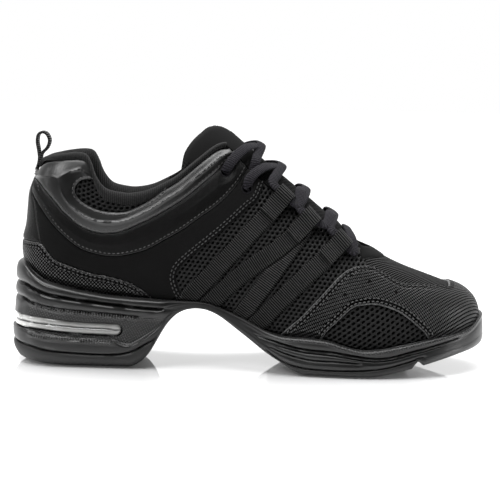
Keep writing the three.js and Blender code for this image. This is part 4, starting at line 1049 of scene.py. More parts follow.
def spline(points, step, fineness=24):
    """Even points along a smooth curve through points."""
    fine = []
    points = np.asarray(points, float)
    row = np.concatenate([[2 * points[0] - points[1]], points, [2 * points[-1] - points[-2]]])
    for a, b, c, d in zip(row, row[1:], row[2:], row[3:]):
        spans = [max(np.linalg.norm(q - p), 1e-6) ** 0.5 for p, q in ((a, b), (b, c), (c, d))]
        knots = np.cumsum([0] + spans)
        t = np.linspace(knots[1], knots[2], fineness, endpoint=False)[:, None]

        def between(i, k, low, high):
            return ((knots[k] - t) * low + (t - knots[i]) * high) / (knots[k] - knots[i])

        before, middle, after = between(0, 1, a, b), between(1, 2, b, c), between(2, 3, c, d)
        fine.append(between(1, 2, between(0, 2, before, middle), between(1, 3, middle, after)))
    fine = np.concatenate(fine + [points[-1:]])
    lengths = running_length(fine)
    count = max(int(lengths[-1] / step), 4)
    even = np.linspace(0, lengths[-1], count + 1)
    return np.stack([np.interp(even, lengths, fine[:, i]) for i in range(fine.shape[1])], axis=-1)


def away_from_core(path):
    """Direction that the broad side of a lace on the shoe faces."""
    core = 0.3 * BALL_WIDTH
    ahead, up = np.full(len(path), core / 2), np.full(len(path), core)
    out = np.stack([ahead, path[:, 1] - middle_y(path[:, 0]), up], axis=-1)
    return out / np.linalg.norm(out, axis=1, keepdims=True)


ON_RIDGE = 1e-6


def lace_path(rows, side, ends, crossing_lift):
    """Points of a lace from its hold on one side over the ridge to its hold on the other."""
    before, after = ends
    top = (len(rows.x) - 1) // 2
    stops = [(row, side) for row in before]
    stops += [(row, side if i < top else 0 if i == top else -side) for i, row in enumerate(zip(*rows))]
    stops += [(row, -side) for row in after]
    points = []
    for (x, z, lift), here in stops:
        if here == 0:
            turn = np.array(ON_RIDGE)
            normal = form_normal(angle_at(x * SHOE_LENGTH), turn)
            points.append(form_point(x * SHOE_LENGTH, turn) + normal * (lift + crossing_lift))
        else:
            points.append(side_point(x * SHOE_LENGTH, z * SHOE_HEIGHT, here, lift)[0])
    return spline(np.array([np.ravel(p) for p in points]), 1.0)


LACE_SECTION = oval(LACE_WIDTH, LACE_THICKNESS, 2.4, 16)


def hold(name):
    """A lace's point inside a strap's fold."""
    rows = STRAPS[name][0]
    return [(rows.x[-1], rows.z[-1], 3.3)]


def down_eyelet(number):
    x, z = EYELETS.x[number], EYELETS.z[number]
    return [(x + 0.001, z + 0.008, 1.6), (x, z, -1.6)]


LACE_ENDS = [
    (hold("3"), hold("2")),
    (hold("2"), hold("1")),
    (hold("1"), down_eyelet(0)),
    ([(0.505, 0.786, -0.4)], down_eyelet(1)),
]


BAR_START = [(0.688, 0.513, 3.2), (0.701, 0.486, 3.0)]
CROSSING_LIFT = 0.9


def laces():
    """One mesh for each pair of crossing laces, and one for the bar at the throat."""
    made = []
    for rows, ends in zip(LACE_ROUTES, LACE_ENDS):
        pair = [tube(lace_path(rows, side, ends, lift), LACE_SECTION, away_from_core)
                for side, lift in ((-1, CROSSING_LIFT), (1, -CROSSING_LIFT))]
        made.append(joined(pair))
    bar = lace_path(LACE_BAR, -1, (BAR_START, BAR_START[::-1]), 0)
    made.append(tube(bar, LACE_SECTION, away_from_core))
    return made


# Fold at a strap's top: along the strap, and over the upper
FOLD = [(-15, 2.1), (-9, 2.3), (-4.6, 3.6), (-1.6, 5.7), (1.2, 6.2), (3.3, 4.6), (3.8, 2.6), (2.6, 1.2),
        (0, 0.9), (-4, 0.9)]
FOLD_WALL = 1.0


def fold(ribbon):
    """Tape that comes up over the strap, round the lace and back under."""
    path = spline(FOLD, 0.7)
    way = np.gradient(path, axis=0)
    way /= np.linalg.norm(way, axis=1, keepdims=True)
    across_way = np.stack([-way[:, 1], way[:, 0]], axis=-1) * FOLD_WALL / 2
    loop = np.concatenate([path + across_way, (path - across_way)[::-1]])
    widths = np.linspace(-ribbon.width / 2, ribbon.width / 2, 9)
    alongs, acrosses = np.meshgrid(ribbon.length() + loop[:, 0], widths, indexing="ij")
    points, normals, _ = ribbon.surface(alongs, acrosses)
    points = points + normals * loop[:, 1][:, None, None]
    count, wide = len(loop), len(widths)
    last = wide - 1
    faces = grid_faces(count, wide, ring_rows=True)
    for i in range(count // 2 - 1):
        a, b, c, d = (corner * wide for corner in (i, i + 1, count - 2 - i, count - 1 - i))
        faces.append((a, d, c, b))
        faces.append((a + last, b + last, c + last, d + last))
    places = grid_places(widths[None, :], running_length(loop)[:, None])
    return Mesh(points.reshape(-1, 3), faces, places)


def collar_shares(angles):
    """How far down each section the collar's edge lies."""
    shares = np.linspace(0, 1, 400)
    grid_angle, grid_share = np.meshgrid(angles, shares, indexing="ij")
    points = form_point(station(grid_angle), turn_of(grid_angle, grid_share))
    height = points[..., 2] - np.interp(points[..., 0], COLLAR_EDGE[:, 0], COLLAR_EDGE[:, 1])
    found = []
    for row in height:
        first = int(np.argmax(row < 0))
        span = row[first - 1] - row[first]
        found.append(shares[first - 1] + (shares[1] - shares[0]) * row[first - 1] / span)
    return np.array(found)


# Section of the lining: how far down from the collar's edge, and how far out
LINING_ROLL = [(6.0, 0.25), (4.6, 1.2), (2.8, 2.0), (1.0, 1.8), (-0.4, 0.8), (-1.0, -0.8), (-0.6, -2.4),
               (1.5, -4.6), (6, -6.4), (13, -7), (23, -6.6), (29, -4.6), (31, -2.7)]


ROLL_FRONT = 0.449 * SHOE_LENGTH
ROLL_STEP = 1.2
ROLL_X = [0, 18, 38, 50, 70, 90, 110, 121]
ROLL_DEPTH = [0.3, 0.5, 0.8, 1.0, 1.0, 0.75, 0.6, 0.5]
# The padding inside ends here, ahead of the ankle
PAD_FADE = (90, 84)
PAD_FACE = -2.2
THIN_DROP = 2.0
THIN_FACE = -2.3


def collar_roll(side):
    """Padded knit edge of the collar on one side, from the middle of the heel forward."""
    section = spline(LINING_ROLL, 0.9)
    down, out = section.T
    us = np.arange(0, angle_reach(ROLL_FRONT), ROLL_STEP)
    angles = angle_of(us)
    x = station(angles)
    depth = np.interp(x, ROLL_X, ROLL_DEPTH)[:, None]
    thick = smooth_share(x, *PAD_FADE)[:, None]
    drops = np.where(out > 0, down * depth, down)
    drops = np.where(out < PAD_FACE, drops * thick + THIN_DROP * (1 - thick), drops)
    offsets = np.where(out < PAD_FACE, out * thick + THIN_FACE * (1 - thick), out)
    share = collar_shares(angles)[:, None] + drops / section_length(angles)[:, None]
    points, normals, _ = upper_surface(np.broadcast_to(us[:, None], share.shape), side * share)
    points = points + normals * offsets[..., None]
    faces = grid_faces(*share.shape)
    if side < 0:
        faces = [face[::-1] for face in faces]
    places = grid_places(us[:, None] * side, running_length(section)[None, :])
    return Mesh(points.reshape(-1, 3), faces, places)


# Holes of the meshes
def oval_holes(along_pitch, across_pitch, half_along, half_across, places_of):
    """Distance outside staggered oval holes, in rows of a frame of the side view."""

    def field(points):
        along, across = places_of(points)
        nearest = np.full(along.shape, FAR)
        row = np.rint(across / across_pitch)
        for step in (-1, 0, 1):
            shift = 0.5 * np.mod(row + step, 2)
            place = along / along_pitch + shift
            a = (place - np.rint(place)) * along_pitch / half_along
            b = (across - (row + step) * across_pitch) / half_across
            nearest = np.minimum(nearest, (np.hypot(a, b) - 1) * min(half_along, half_across))
        return nearest

    return field


def turned_frame(degrees):
    c, s = math.cos(math.radians(degrees)), math.sin(math.radians(degrees))
    return lambda p: (p[..., 0] * c + p[..., 2] * s, p[..., 2] * c - p[..., 0] * s)


def ring_frame(x, z, radius):
    """Rows that run round a point of the side view."""

    def frame_of(points):
        dx, dz = points[..., 0] - x, points[..., 2] - z
        return np.arctan2(dz, dx) * radius, np.hypot(dx, dz)

    return frame_of


# Height of the dark backing under the meshes, and the round strands over it
BACKING_FACE = -0.55
STRAND_ROUND = 0.55
STRAND_LOW = -0.25
STRAND_HIGH = 0.22


def mesh_top(edges):
    return rounded(edges, STRAND_ROUND, STRAND_LOW, STRAND_HIGH)


def mesh_patch(region, holes, step=0.4):
    """Strands of an open mesh on both sides of the shoe."""
    made = []
    for side, _ in SIDES:
        shares = (0.02, 1) if side > 0 else (-1, -0.02)
        coarse = all_of(region, on_side(side))
        firsts, seconds = grid_of(coarse, step, upper_surface, (0, BELLY_REACH), shares)
        made.append(shell(upper_surface, coarse, firsts, seconds, mesh_top, BACKING_FACE, closed=False,
                          holes=holes))
    return joined(made)


# Sole: its wall and its underside as one surface. w runs from the lip (1) to the floor's edge (0) and
# on to the middle line underneath (-1).
FLOOR_TURN = (-0.02, 0.06)


def sole_surface(u, w):
    point, normal, place = wall_surface(u, np.clip(w, 0, 1))
    under = np.clip(-w, 0, 1)[..., None]
    centre_x = station(angle_of(np.abs(u)))
    centre = np.stack([centre_x, middle_y(centre_x), bottom_z(centre_x)], axis=-1)
    bottom = point * (1 - under) + centre * under
    bottom[..., 2] = bottom_z(bottom[..., 0])
    point = np.where(under > 0, bottom, point)
    turn = smooth_share(under, *FLOOR_TURN)
    normal = normal * (1 - turn) + np.array([0.0, 0.0, -1.0]) * turn
    normal /= np.maximum(np.linalg.norm(normal, axis=-1, keepdims=True), 1e-9)
    place = np.stack([point[..., 0], np.where(w < 0, point[..., 1], point[..., 2])], axis=-1)
    return point, normal, place


def cell_outline(grow=0.0):
    top = np.stack([CELL_TOP.x * SHOE_LENGTH, CELL_TOP.z * SHOE_HEIGHT + grow], axis=-1)
    low = np.stack([CELL_BOTTOM.x * SHOE_LENGTH, CELL_BOTTOM.z * SHOE_HEIGHT - grow], axis=-1)
    radius = (top[-1, 1] - low[-1, 1]) / 2
    angles = np.linspace(QUARTER, -QUARTER, 14)[1:-1]
    end_x = top[-1, 0] + radius * np.cos(angles)
    end_z = low[-1, 1] + radius + radius * np.sin(angles)
    return np.concatenate([smooth_outline(top), np.stack([end_x, end_z], axis=-1), smooth_outline(low)[::-1]])


def cell_middle(x):
    """Height of the line between the clear cell's two lobes."""
    return np.interp(x, CELL_TOP.x * SHOE_LENGTH, (CELL_TOP.z + CELL_BOTTOM.z) * SHOE_HEIGHT / 2)


def cell_half(x):
    return np.interp(x, CELL_TOP.x * SHOE_LENGTH, (CELL_TOP.z - CELL_BOTTOM.z) * SHOE_HEIGHT / 2)


def tread_region(rows, clearance):
    """Region of a tread: under its seam and between the seam's ends."""
    rear, front = rows.x[[0, -1]] * SHOE_LENGTH
    seam = below(rows, -clearance)
    return all_of(seam, lambda p: p[..., 0] - rear - clearance, lambda p: front - clearance - p[..., 0])


WALL_ROWS = np.concatenate([np.linspace(-1, -0.04, 14), np.linspace(0, 1, 61)])
WALL_STEP = 1.3


def wall_us():
    """Places along the belly on both sides, closer together at the groove under the toe."""
    even = np.linspace(0, BELLY_REACH, int(BELLY_REACH / WALL_STEP))
    notch = angle_reach(NOTCH_X)
    fine = np.arange(notch - 4, notch + 4, WALL_STEP / 3)
    half = np.unique(np.concatenate([even[np.abs(even - notch) > 4.4], fine]))
    return np.concatenate([-half[:0:-1], half])


def sole_cut(field, us, rows, top=None):
    """The sole's outside where field is positive: points, normals, places, edges, faces and each w."""
    grid_u, grid_w = np.meshgrid(us, rows, indexing="ij")
    points, _, _ = sole_surface(grid_u, grid_w)
    steps = np.arange(len(rows), dtype=float)
    coordinates, edges, faces = marched(real_distance(field, points), us, steps)
    w = np.interp(coordinates[:, 1], steps, rows)
    points, normals, places = sole_surface(coordinates[:, 0], w)
    if top is not None:
        points = points + normals * top(edges)[:, None]
    faces = [tuple(reversed(face)) for face in welded(points, faces)]
    return points, normals, places, edges, faces, w


def sole_skin(field, inset, top=None):
    """Skin of the sole's outside where field is positive, turned in at its edges."""
    points, normals, places, edges, faces, w = sole_cut(field, wall_us(), WALL_ROWS, top)
    borders = [(a, b) for a, b in border_edges(faces) if w[a] < 0.999 or w[b] < 0.999]
    return thickened(points, points - normals * inset, faces, places, edges, borders, closed=False)


SEAT_DROP = 0.5


def rim():
    """Top of the wall and the inside of the cup that holds the upper."""
    us = wall_us()
    outer, normals, _ = wall_surface(us, np.ones_like(us))
    side = np.where(us > 0, -1.0, 1.0)
    angle = angle_of(np.abs(us))
    x = station(angle)
    seat_height = form_point(x, side * SEAT_TURN)[:, 2]
    rings = [outer, outer + [0, 0, 0.25] - normals * 0.35]
    for share in (0.0, 0.12, 0.5, 1.0):
        z = outer[:, 2] * (1 - share) + (seat_height - SEAT_DROP) * share
        turn = turn_at(x, np.maximum(z, seat_height), side)
        point = form_point(x, turn) + form_normal(angle, turn) * GAP
        point[:, 2] = z + (0.15 if share == 0 else 0)
        rings.append(point)
    rings.append(np.stack([x, middle_y(x), seat_height - SEAT_DROP], axis=-1))
    points = np.concatenate(rings)
    faces = welded(points, grid_faces(len(rings), len(us), columns_first=True))
    return Mesh(points, faces, grid_places(us[None, :], np.arange(len(rings))[:, None]))


SOLE_INSIDE = 30.0


def midsole_skin():
    """Outside of the midsole. Its edge values mark the hatched field and the stitched welt."""
    treads = [no_more_than(tread_region(rows, 0), -0.1) for rows in (HEEL_TREAD_TOP, FORE_TREAD_TOP)]
    cell = no_more_than(polygon_field(cell_outline()))
    field = all_of(everywhere(SOLE_INSIDE), cell, *treads)
    skin = sole_skin(field, 2.0)
    x, z = skin.points[:, 0], skin.points[:, 2]
    hatch = smooth_share(recess_field(skin.points), -0.3, 0.5)
    welt = smooth_share(np.abs(lip_z(x) - z - 1.1), 1.3, 0.8) * smooth_share(x, 146, 156)
    skin.edges = np.maximum(hatch, welt)
    return skin


def tread_skin(rows):
    return sole_skin(tread_region(rows, GAP), 2.4, lambda edges: -0.35 * np.clip(1 - edges / 0.5, 0, 1))


# Clear cell: its front end, the grid that it is cut from, and the line between its lobes
CELL_REACH_X = 0.27 * SHOE_LENGTH
CELL_STEP = 0.9
CELL_ROWS = np.linspace(0.28, 0.68, 64)
CELL_LINE_DEPTH = 0.9
CELL_LINE_HALF = 0.9
CELL_LINE_FADE = (62, 58)


def clear_cell():
    """Closed body of the heel's clear cell: two soft lobes with a line between them."""
    reach = angle_reach(CELL_REACH_X)
    us = np.linspace(-reach, reach, 2 * int(reach / CELL_STEP) + 1)
    region = polygon_field(cell_outline(-GAP))
    points, normals, places, edges, faces, _ = sole_cut(region, us, CELL_ROWS)
    x, z = points[:, 0], points[:, 2]
    near_line = np.clip(1 - np.abs(z - cell_middle(x)) / CELL_LINE_HALF, 0, 1)
    line = CELL_LINE_DEPTH * smooth_share(x, *CELL_LINE_FADE) * near_line ** 1.5
    outer = points + normals * (rounded(edges, 2.0, -2.6, -0.9) - line)[:, None]
    inner = points - normals * (CELL_DEPTH - GAP - 0.3)
    return thickened(outer, inner, faces, places, edges, border_edges(faces))


def wall_place(x, z, side):
    """Point and direction of the sole's side wall at places of the side view."""
    x, z = np.asarray(x, float), np.asarray(z, float)
    u = -side * np.interp(angle_at(x), ANGLES, BELLY_LENGTHS)
    low, high = bottom_z(x), lip_z(x)
    point, normal, _ = wall_surface(u, np.clip((z - low) / (high - low), 0, 1))
    return point, normal


# A tooth's half width as a share of the pitch, its ridge as a share of its height, and its root
TOOTH_SHARE = 0.36
RIDGE_SHARE = 0.8
TOOTH_ROOT = 1.0


def teeth(rows, side, tall=2.2, pitch=1.5, out=0.65):
    """Row of small upright ribs along a line of the sole's side wall."""
    line = smooth_outline(rows, step=0.25)
    points, normals = wall_place(line[:, 0], line[:, 1], side)
    lengths = running_length(points)
    made = []
    for at in np.arange(pitch, lengths[-1] - pitch, pitch):
        i = int(np.searchsorted(lengths, at))
        along = points[i] - points[i - 1]
        along /= np.linalg.norm(along)
        up = np.array([0.0, 0.0, tall / 2])
        width = along * pitch * TOOTH_SHARE
        centre, normal = points[i], normals[i]
        base = [centre - width - up, centre + width - up, centre + width + up, centre - width + up]
        ridge = [centre - up * RIDGE_SHARE, centre + up * RIDGE_SHARE]
        corner = [p - normal * TOOTH_ROOT for p in base] + [p + normal * out for p in ridge]
        faces = [(0, 1, 4), (1, 2, 5, 4), (2, 3, 5), (3, 0, 4, 5), (3, 2, 1, 0)]
        if side > 0:
            faces = [tuple(reversed(face)) for face in faces]
        made.append(Mesh(np.array(corner), faces))
    return joined(made)


# Stitches
STITCH_PITCH = 2.5
STITCH_LENGTH = 1.75
STITCH_RADIUS = 0.3


# Rings of a stitch: the share of its length, then height and size as shares of its radius
STITCH_RINGS = ((0.08, -0.1, 0.55), (0.3, 0.5, 1.0), (0.7, 0.5, 1.0), (0.92, -0.1, 0.55))
STITCH_SIDES = 5
STITCH_BREADTH = 1.15
STITCH_FACES = grid_faces(len(STITCH_RINGS), STITCH_SIDES, ring_columns=True, columns_first=True)
STITCH_FACES += [(4, 3, 2, 1, 0), (15, 16, 17, 18, 19)]


def stitch(start, end, normal):
    """Points of one stitch: a short thread that dips at both ends."""
    along = end - start
    length = np.linalg.norm(along)
    along = along / length
    across = np.cross(normal, along)
    across /= np.linalg.norm(across)
    points = []
    for share, rise, size in STITCH_RINGS:
        centre = start + along * length * share + normal * STITCH_RADIUS * rise
        for turn in range(STITCH_SIDES):
            angle = turn / STITCH_SIDES * 2 * math.pi
            way = across * math.cos(angle) * STITCH_BREADTH + normal * math.sin(angle)
            points.append(centre + way * STITCH_RADIUS * size)
    return points


def stitches(path, normals):
    """Row of stitches along a path of points."""
    lengths = running_length(path)

    def at(place, rows):
        return np.array([np.interp(place, lengths, rows[:, i]) for i in range(3)])

    points, faces = [], []
    for start in np.arange(STITCH_PITCH / 2, lengths[-1] - STITCH_LENGTH, STITCH_PITCH):
        normal = at(start, normals)
        faces += [tuple(i + len(points) for i in face) for face in STITCH_FACES]
        points += stitch(at(start, path), at(start + STITCH_LENGTH, path), normal / np.linalg.norm(normal))
    return Mesh(np.array(points), faces) if points else None


def offset_line(line, by):
    """A line of the side view moved to its left by a distance."""
    along = np.gradient(line, axis=0)
    along /= np.linalg.norm(along, axis=1, keepdims=True)
    return line + np.stack([-along[:, 1], along[:, 0]], axis=-1) * by


def seam_stitches(rows, by, side, keep, height):
    """Stitches along a table's line, moved by a distance, where keep is positive."""
    line = offset_line(side_line(rows), by)
    line = line[(line[:, 0] > HEEL_END + 0.2) & (line[:, 0] < TOE_END - 0.2)]
    points, normals = side_point(line[:, 0], line[:, 1], side)
    points = points + normals * height
    kept = np.flatnonzero(keep(points) > 0.6)
    runs = np.split(kept, np.flatnonzero(np.diff(kept) > 1) + 1)
    made = [stitches(points[run], normals[run]) for run in runs if len(run) > 4]
    return [row for row in made if row is not None]


# Materials
class Looks:
    """Node tree of one material, with short ways to make its nodes."""

    def __init__(self, name, **constants):
        self.material = bpy.data.materials.new(name)
        self.material.use_nodes = True
        self.nodes = self.material.node_tree.nodes
        self.links = self.material.node_tree.links
        self.shader = self.nodes["Principled BSDF"]
        for socket, value in constants.items():
            self.shader.inputs[socket.replace("_", " ")].default_value = value

    def node(self, kind, inputs=(), **settings):
        made = self.nodes.new(kind)
        for key, value in settings.items():
            setattr(made, key, value)
        for socket, value in dict(inputs).items():
            if isinstance(value, bpy.types.NodeSocket):
                self.links.new(value, made.inputs[socket])
            else:
                made.inputs[socket].default_value = value
        return made

    def link(self, output, socket):
        self.links.new(output, self.shader.inputs[socket])

    def surface(self, turn=0.0, stretch=(1, 1, 1)):
        """The texture place on the piece, in millimetres, turned by degrees."""
        uv = self.node("ShaderNodeUVMap", uv_map="surface")
        made = self.node("ShaderNodeMapping", {"Vector": uv.outputs["UV"]})
        made.inputs["Rotation"].default_value[2] = math.radians(turn)
        made.inputs["Scale"].default_value = stretch
        return made.outputs["Vector"]

    def object_place(self, scale=1000.0):
        """The place in the shoe's frame, in millimetres."""
        coordinates = self.node("ShaderNodeTexCoord")
        made = self.node("ShaderNodeMapping", {"Vector": coordinates.outputs["Object"]})
        made.inputs["Scale"].default_value = (scale, scale, scale)
        return made.outputs["Vector"]

    def noise(self, place, scale, detail=3.0, rough=0.55):
        made = self.node("ShaderNodeTexNoise", {"Vector": place, "Scale": scale, "Detail": detail,
                                                "Roughness": rough})
        return made.outputs["Fac"]

    def ribs(self, place, pitch, direction="X", kind="SIN"):
        made = self.node("ShaderNodeTexWave", {"Vector": place, "Scale": 0.314 / pitch},
                         bands_direction=direction, wave_profile=kind)
        return made.outputs["Fac"]

    def dots(self, place, pitch):
        """Distance from the centres of a square grid of dots, as a share of the pitch."""
        made = self.node("ShaderNodeTexVoronoi", {"Vector": place, "Scale": 1 / pitch, "Randomness": 0.0},
                         voronoi_dimensions="2D")
        return made.outputs["Distance"]

    def pebbles(self, place, pitch, randomness=1.0):
        made = self.node("ShaderNodeTexVoronoi", {"Vector": place, "Scale": 1 / pitch,
                                                  "Randomness": randomness}, feature="DISTANCE_TO_EDGE")
        return made.outputs["Distance"]

    def scaled(self, value, low, high, to_low=0.0, to_high=1.0):
        made = self.node("ShaderNodeMapRange", {"Value": value, "From Min": low, "From Max": high,
                                                "To Min": to_low, "To Max": to_high})
        made.clamp = True
        return made.outputs["Result"]

    def math(self, operation, first, second=0.0):
        made = self.node("ShaderNodeMath", operation=operation)
        for socket, value in zip(made.inputs, (first, second)):
            if isinstance(value, bpy.types.NodeSocket):
                self.links.new(value, socket)
            else:
                socket.default_value = value
        return made.outputs["Value"]

    def product(self, first, second):
        return self.math("MULTIPLY", first, second)

    def blend(self, share, first, second):
        """A colour between two, by a share."""
        made = self.node("ShaderNodeMix", data_type="RGBA")
        self.links.new(share, made.inputs["Factor"])
        for socket, colour in ((made.inputs[6], first), (made.inputs[7], second)):
            if isinstance(colour, bpy.types.NodeSocket):
                self.links.new(colour, socket)
            else:
                socket.default_value = (*colour, 1)
        return made.outputs[2]

    def bump(self, height, distance, strength, under=None):
        inputs = {"Height": height, "Distance": distance * MM, "Strength": strength}
        if under is not None:
            inputs["Normal"] = under
        return self.node("ShaderNodeBump", inputs).outputs["Normal"]

    def attribute(self, name):
        return self.node("ShaderNodeAttribute", attribute_name=name).outputs["Fac"]

    def edge_highlight(self):
        """Share of a leather piece's edge that gets a thin painted highlight line."""
        return self.scaled(self.attribute("edge"), 0.25, 0.7, 1.0, 0.0)

    def dress(self, colour, roughness=None, bumps=(), gloss=None):
        """Join up the colour, the roughness, the bumps from the coarsest on, and the gloss."""
        self.link(colour, "Base Color")
        if isinstance(roughness, bpy.types.NodeSocket):
            self.link(roughness, "Roughness")
        elif roughness is not None:
            self.shader.inputs["Roughness"].default_value = roughness
        if gloss is not None:
            self.link(gloss, "Specular IOR Level")
        normal = None
        for height, distance, strength in bumps:
            normal = self.bump(height, distance, strength, normal)
        if normal is not None:
            self.link(normal, "Normal")
        return self.material


def grey(value):
    return (value, value, value)


def leather(name, pebble, cloud, rough, wrinkled, grained, **constants):
    """Coated leather with fine pebbles, soft wrinkles and a thin painted highlight along its edge."""
    look = Looks(name, **constants)
    place = look.object_place()
    grain = look.scaled(look.pebbles(place, pebble), 0.0, 0.12)
    wrinkles = look.noise(place, *cloud)
    plain = look.blend(wrinkles, grey(0.0015), grey(0.003))
    return look.dress(
        # The edge is painted lighter: a painted highlight line.
        look.blend(look.edge_highlight(), plain, grey(0.03)), look.scaled(wrinkles, 0.3, 0.7, *rough),
        [(wrinkles, 0.3, wrinkled), (grain, *grained)],
    )


def suede():
    look = Looks("quarter suede", Sheen_Weight=0.01, Sheen_Roughness=0.5, Specular_IOR_Level=0.08)
    place = look.object_place()
    nap = look.noise(place, 1.4, 6.0, 0.65)
    patches = look.noise(place, 0.06, 2.0)
    colour = look.blend(look.product(nap, patches), grey(0.002), grey(0.006))
    return look.dress(colour, 0.9, [(nap, 0.12, 0.4)])


def embossed():
    """Coated fabric with a fine grid of raised dots, their tops painted lighter as painted highlights, and a
    painted highlight line along its edge.
    """
    look = Looks("embossed dots", Specular_IOR_Level=0.45)
    dots = look.scaled(look.dots(look.surface(45), 1.4), 0.22, 0.46, 1.0, 0.0)
    from_seam = look.math("ABSOLUTE", look.math("SUBTRACT", look.attribute("edge"), 2.1))
    raised = look.product(dots, look.scaled(look.scaled(from_seam, 0.9, 1.5), 0, 1, 0.25, 1.0))
    wear = look.noise(look.object_place(), 0.2, 3.0)
    # The raised dots are painted lighter than the gaps between them: painted highlights over their bump.
    plain = look.blend(raised, grey(0.0004), grey(0.005))
    shine = look.math("MAXIMUM", raised, look.edge_highlight())
    return look.dress(
        look.blend(look.edge_highlight(), plain, grey(0.05)), look.scaled(wear, 0.3, 0.7, 0.3, 0.38),
        [(raised, 0.4, 1.0)], look.scaled(shine, 0, 1, 0.0, 0.7),
    )


def webbing(name="grosgrain", dark=0.001, light=0.009):
    """Grosgrain tape, ribbed across its length."""
    look = Looks(name, Sheen_Weight=0.03, Sheen_Roughness=0.4, Specular_IOR_Level=0.35)
    ribs = look.ribs(look.surface(), 1.2, "Y")
    threads = look.noise(look.surface(0, (3.0, 1.2, 1)), 1.6, 3.0)
    return look.dress(
        look.blend(ribs, grey(dark), grey(light)), 0.55,
        [(ribs, 0.45, 1.0), (threads, 0.06, 0.4)], look.scaled(ribs, 0.2, 0.9, 0.0, 0.35),
    )


def lace_cloth():
    """Woven lace, with a fine braid."""
    look = Looks("lace braid", Sheen_Weight=0.015, Sheen_Roughness=0.45, Specular_IOR_Level=0.12)
    second = look.scaled(look.ribs(look.surface(-8), 0.9, "Y"), 0.0, 1.0, 0.4, 1.0)
    braid = look.product(look.ribs(look.surface(8), 1.2, "Y"), second)
    fuzz = look.noise(look.object_place(), 2.2, 4.0)
    colour = look.blend(look.scaled(braid, 0.0, 0.7), (0.002, 0.0018, 0.0027), (0.015, 0.0138, 0.018))
    return look.dress(colour, 0.75, [(braid, 0.35, 0.9), (fuzz, 0.1, 0.3)])


def knit():
    look = Looks("knit lining", Sheen_Weight=0.04, Sheen_Roughness=0.5, Specular_IOR_Level=0.2)
    cells = look.product(look.ribs(look.surface(0), 1.1), look.ribs(look.surface(90), 0.88))
    fuzz = look.noise(look.object_place(), 1.8, 4.0)
    colour = look.blend(cells, grey(0.001), grey(0.016))
    return look.dress(colour, 0.85, [(cells, 0.35, 0.8), (fuzz, 0.12, 0.3)])


def strand_mesh():
    """Strands of the open meshes, painted darker towards their edges where they dip into the holes: painted
    shade.
    """
    look = Looks("mesh strands", Sheen_Weight=0.02, Sheen_Roughness=0.4, Specular_IOR_Level=0.18)
    fuzz = look.noise(look.object_place(), 2.6, 4.0)
    # Darker towards the strands' edges: painted shade.
    edge = look.scaled(look.attribute("edge"), 0.0, 0.45)
    return look.dress(look.blend(edge, grey(0.001), grey(0.0065)), 0.6, [(fuzz, 0.1, 0.4)])


def vamp_mesh():
    """Fine slanting ribs of the toe's mesh."""
    look = Looks("vamp mesh", Sheen_Weight=0.02, Sheen_Roughness=0.4, Specular_IOR_Level=0.25)
    cross = look.scaled(look.ribs(look.surface(-55), 1.5), 0, 1, 0.35, 1.0)
    weave = look.product(look.ribs(look.surface(35), 1.25), cross)
    fuzz = look.noise(look.surface(), 1.6, 4.0)
    return look.dress(
        look.blend(weave, grey(0.0005), grey(0.013)), 0.65,
        [(weave, 0.35, 0.8), (fuzz, 0.1, 0.3)], look.scaled(weave, 0.1, 0.8, 0.0, 0.3),
    )


def dark_backing():
    look = Looks("dark backing", Specular_IOR_Level=0.05)
    fuzz = look.noise(look.object_place(), 1.5, 3.0)
    return look.dress(look.blend(fuzz, grey(0.0006), grey(0.0015)), 0.95)


def sole_foam():
    """Satin polyurethane of the midsole, hatched where the edge values say."""
    look = Looks("sole satin", Coat_Weight=0.2, Coat_Roughness=0.22, Specular_IOR_Level=0.3)
    place = look.object_place()
    cloud = look.noise(place, 0.12, 3.0)
    fine = look.noise(place, 1.7, 4.0)
    crossed = look.product(look.ribs(look.surface(60), 1.3), look.ribs(look.surface(-30), 1.3))
    hatch = look.product(look.scaled(crossed, 0.15, 0.6), look.attribute("edge"))
    colour = look.blend(hatch, look.blend(cloud, grey(0.003), grey(0.006)), grey(0.035))
    rough = look.scaled(cloud, 0.3, 0.7, 0.36, 0.44)
    return look.dress(colour, rough, [(hatch, 0.3, 0.8), (fine, 0.05, 0.3)])


def tread_rubber():
    """Rubber with slanting lines on its underside."""
    look = Looks("tread rubber", Specular_IOR_Level=0.4)
    pattern = look.ribs(look.surface(45), 2.4)
    fine = look.noise(look.object_place(), 1.4, 4.0)
    normal = look.node("ShaderNodeNewGeometry").outputs["Normal"]
    upward = look.node("ShaderNodeSeparateXYZ", {"Vector": normal}).outputs["Z"]
    cut = look.product(look.scaled(pattern, 0.35, 0.65), look.scaled(upward, -0.9, -0.7, 1.0, 0.0))
    colour = look.blend(fine, grey(0.004), grey(0.008))
    return look.dress(colour, 0.55, [(cut, 0.6, 0.7), (fine, 0.05, 0.3)])


def clear_plastic():
    """Clear cell, lit through from the far side: its light grey is painted light, brightest at the heel's
    back and dimmer towards its edges, with a dark line between its two chambers.
    """
    look = Looks("clear cell", Coat_Weight=1.0, Coat_Roughness=0.06, Roughness=0.22, IOR=1.45)
    place = look.object_place()
    length = look.node("ShaderNodeSeparateXYZ", {"Vector": place}).outputs["X"]
    shade = look.scaled(look.math("ABSOLUTE", look.attribute("band")), 0.03, 0.16)
    shade = look.product(shade, look.scaled(look.attribute("edge"), 0.2, 1.2, 0.25, 1.0))
    # Painted light, brighter towards the heel's back.
    shade = look.product(shade, look.scaled(length, -38, -16, 1.0, 0.34))
    shade = look.product(shade, look.scaled(look.noise(place, 0.09, 3.0), 0.35, 0.65, 0.7, 1.0))
    return look.dress(look.blend(shade, grey(0.02), (0.72, 0.72, 0.7)))


def thread(value):
    look = Looks("thread", Specular_IOR_Level=0.4, Roughness=0.5)
    fuzz = look.noise(look.object_place(), 2.0, 3.0)
    return look.dress(look.blend(fuzz, grey(value * 0.7), grey(value * 1.2)))


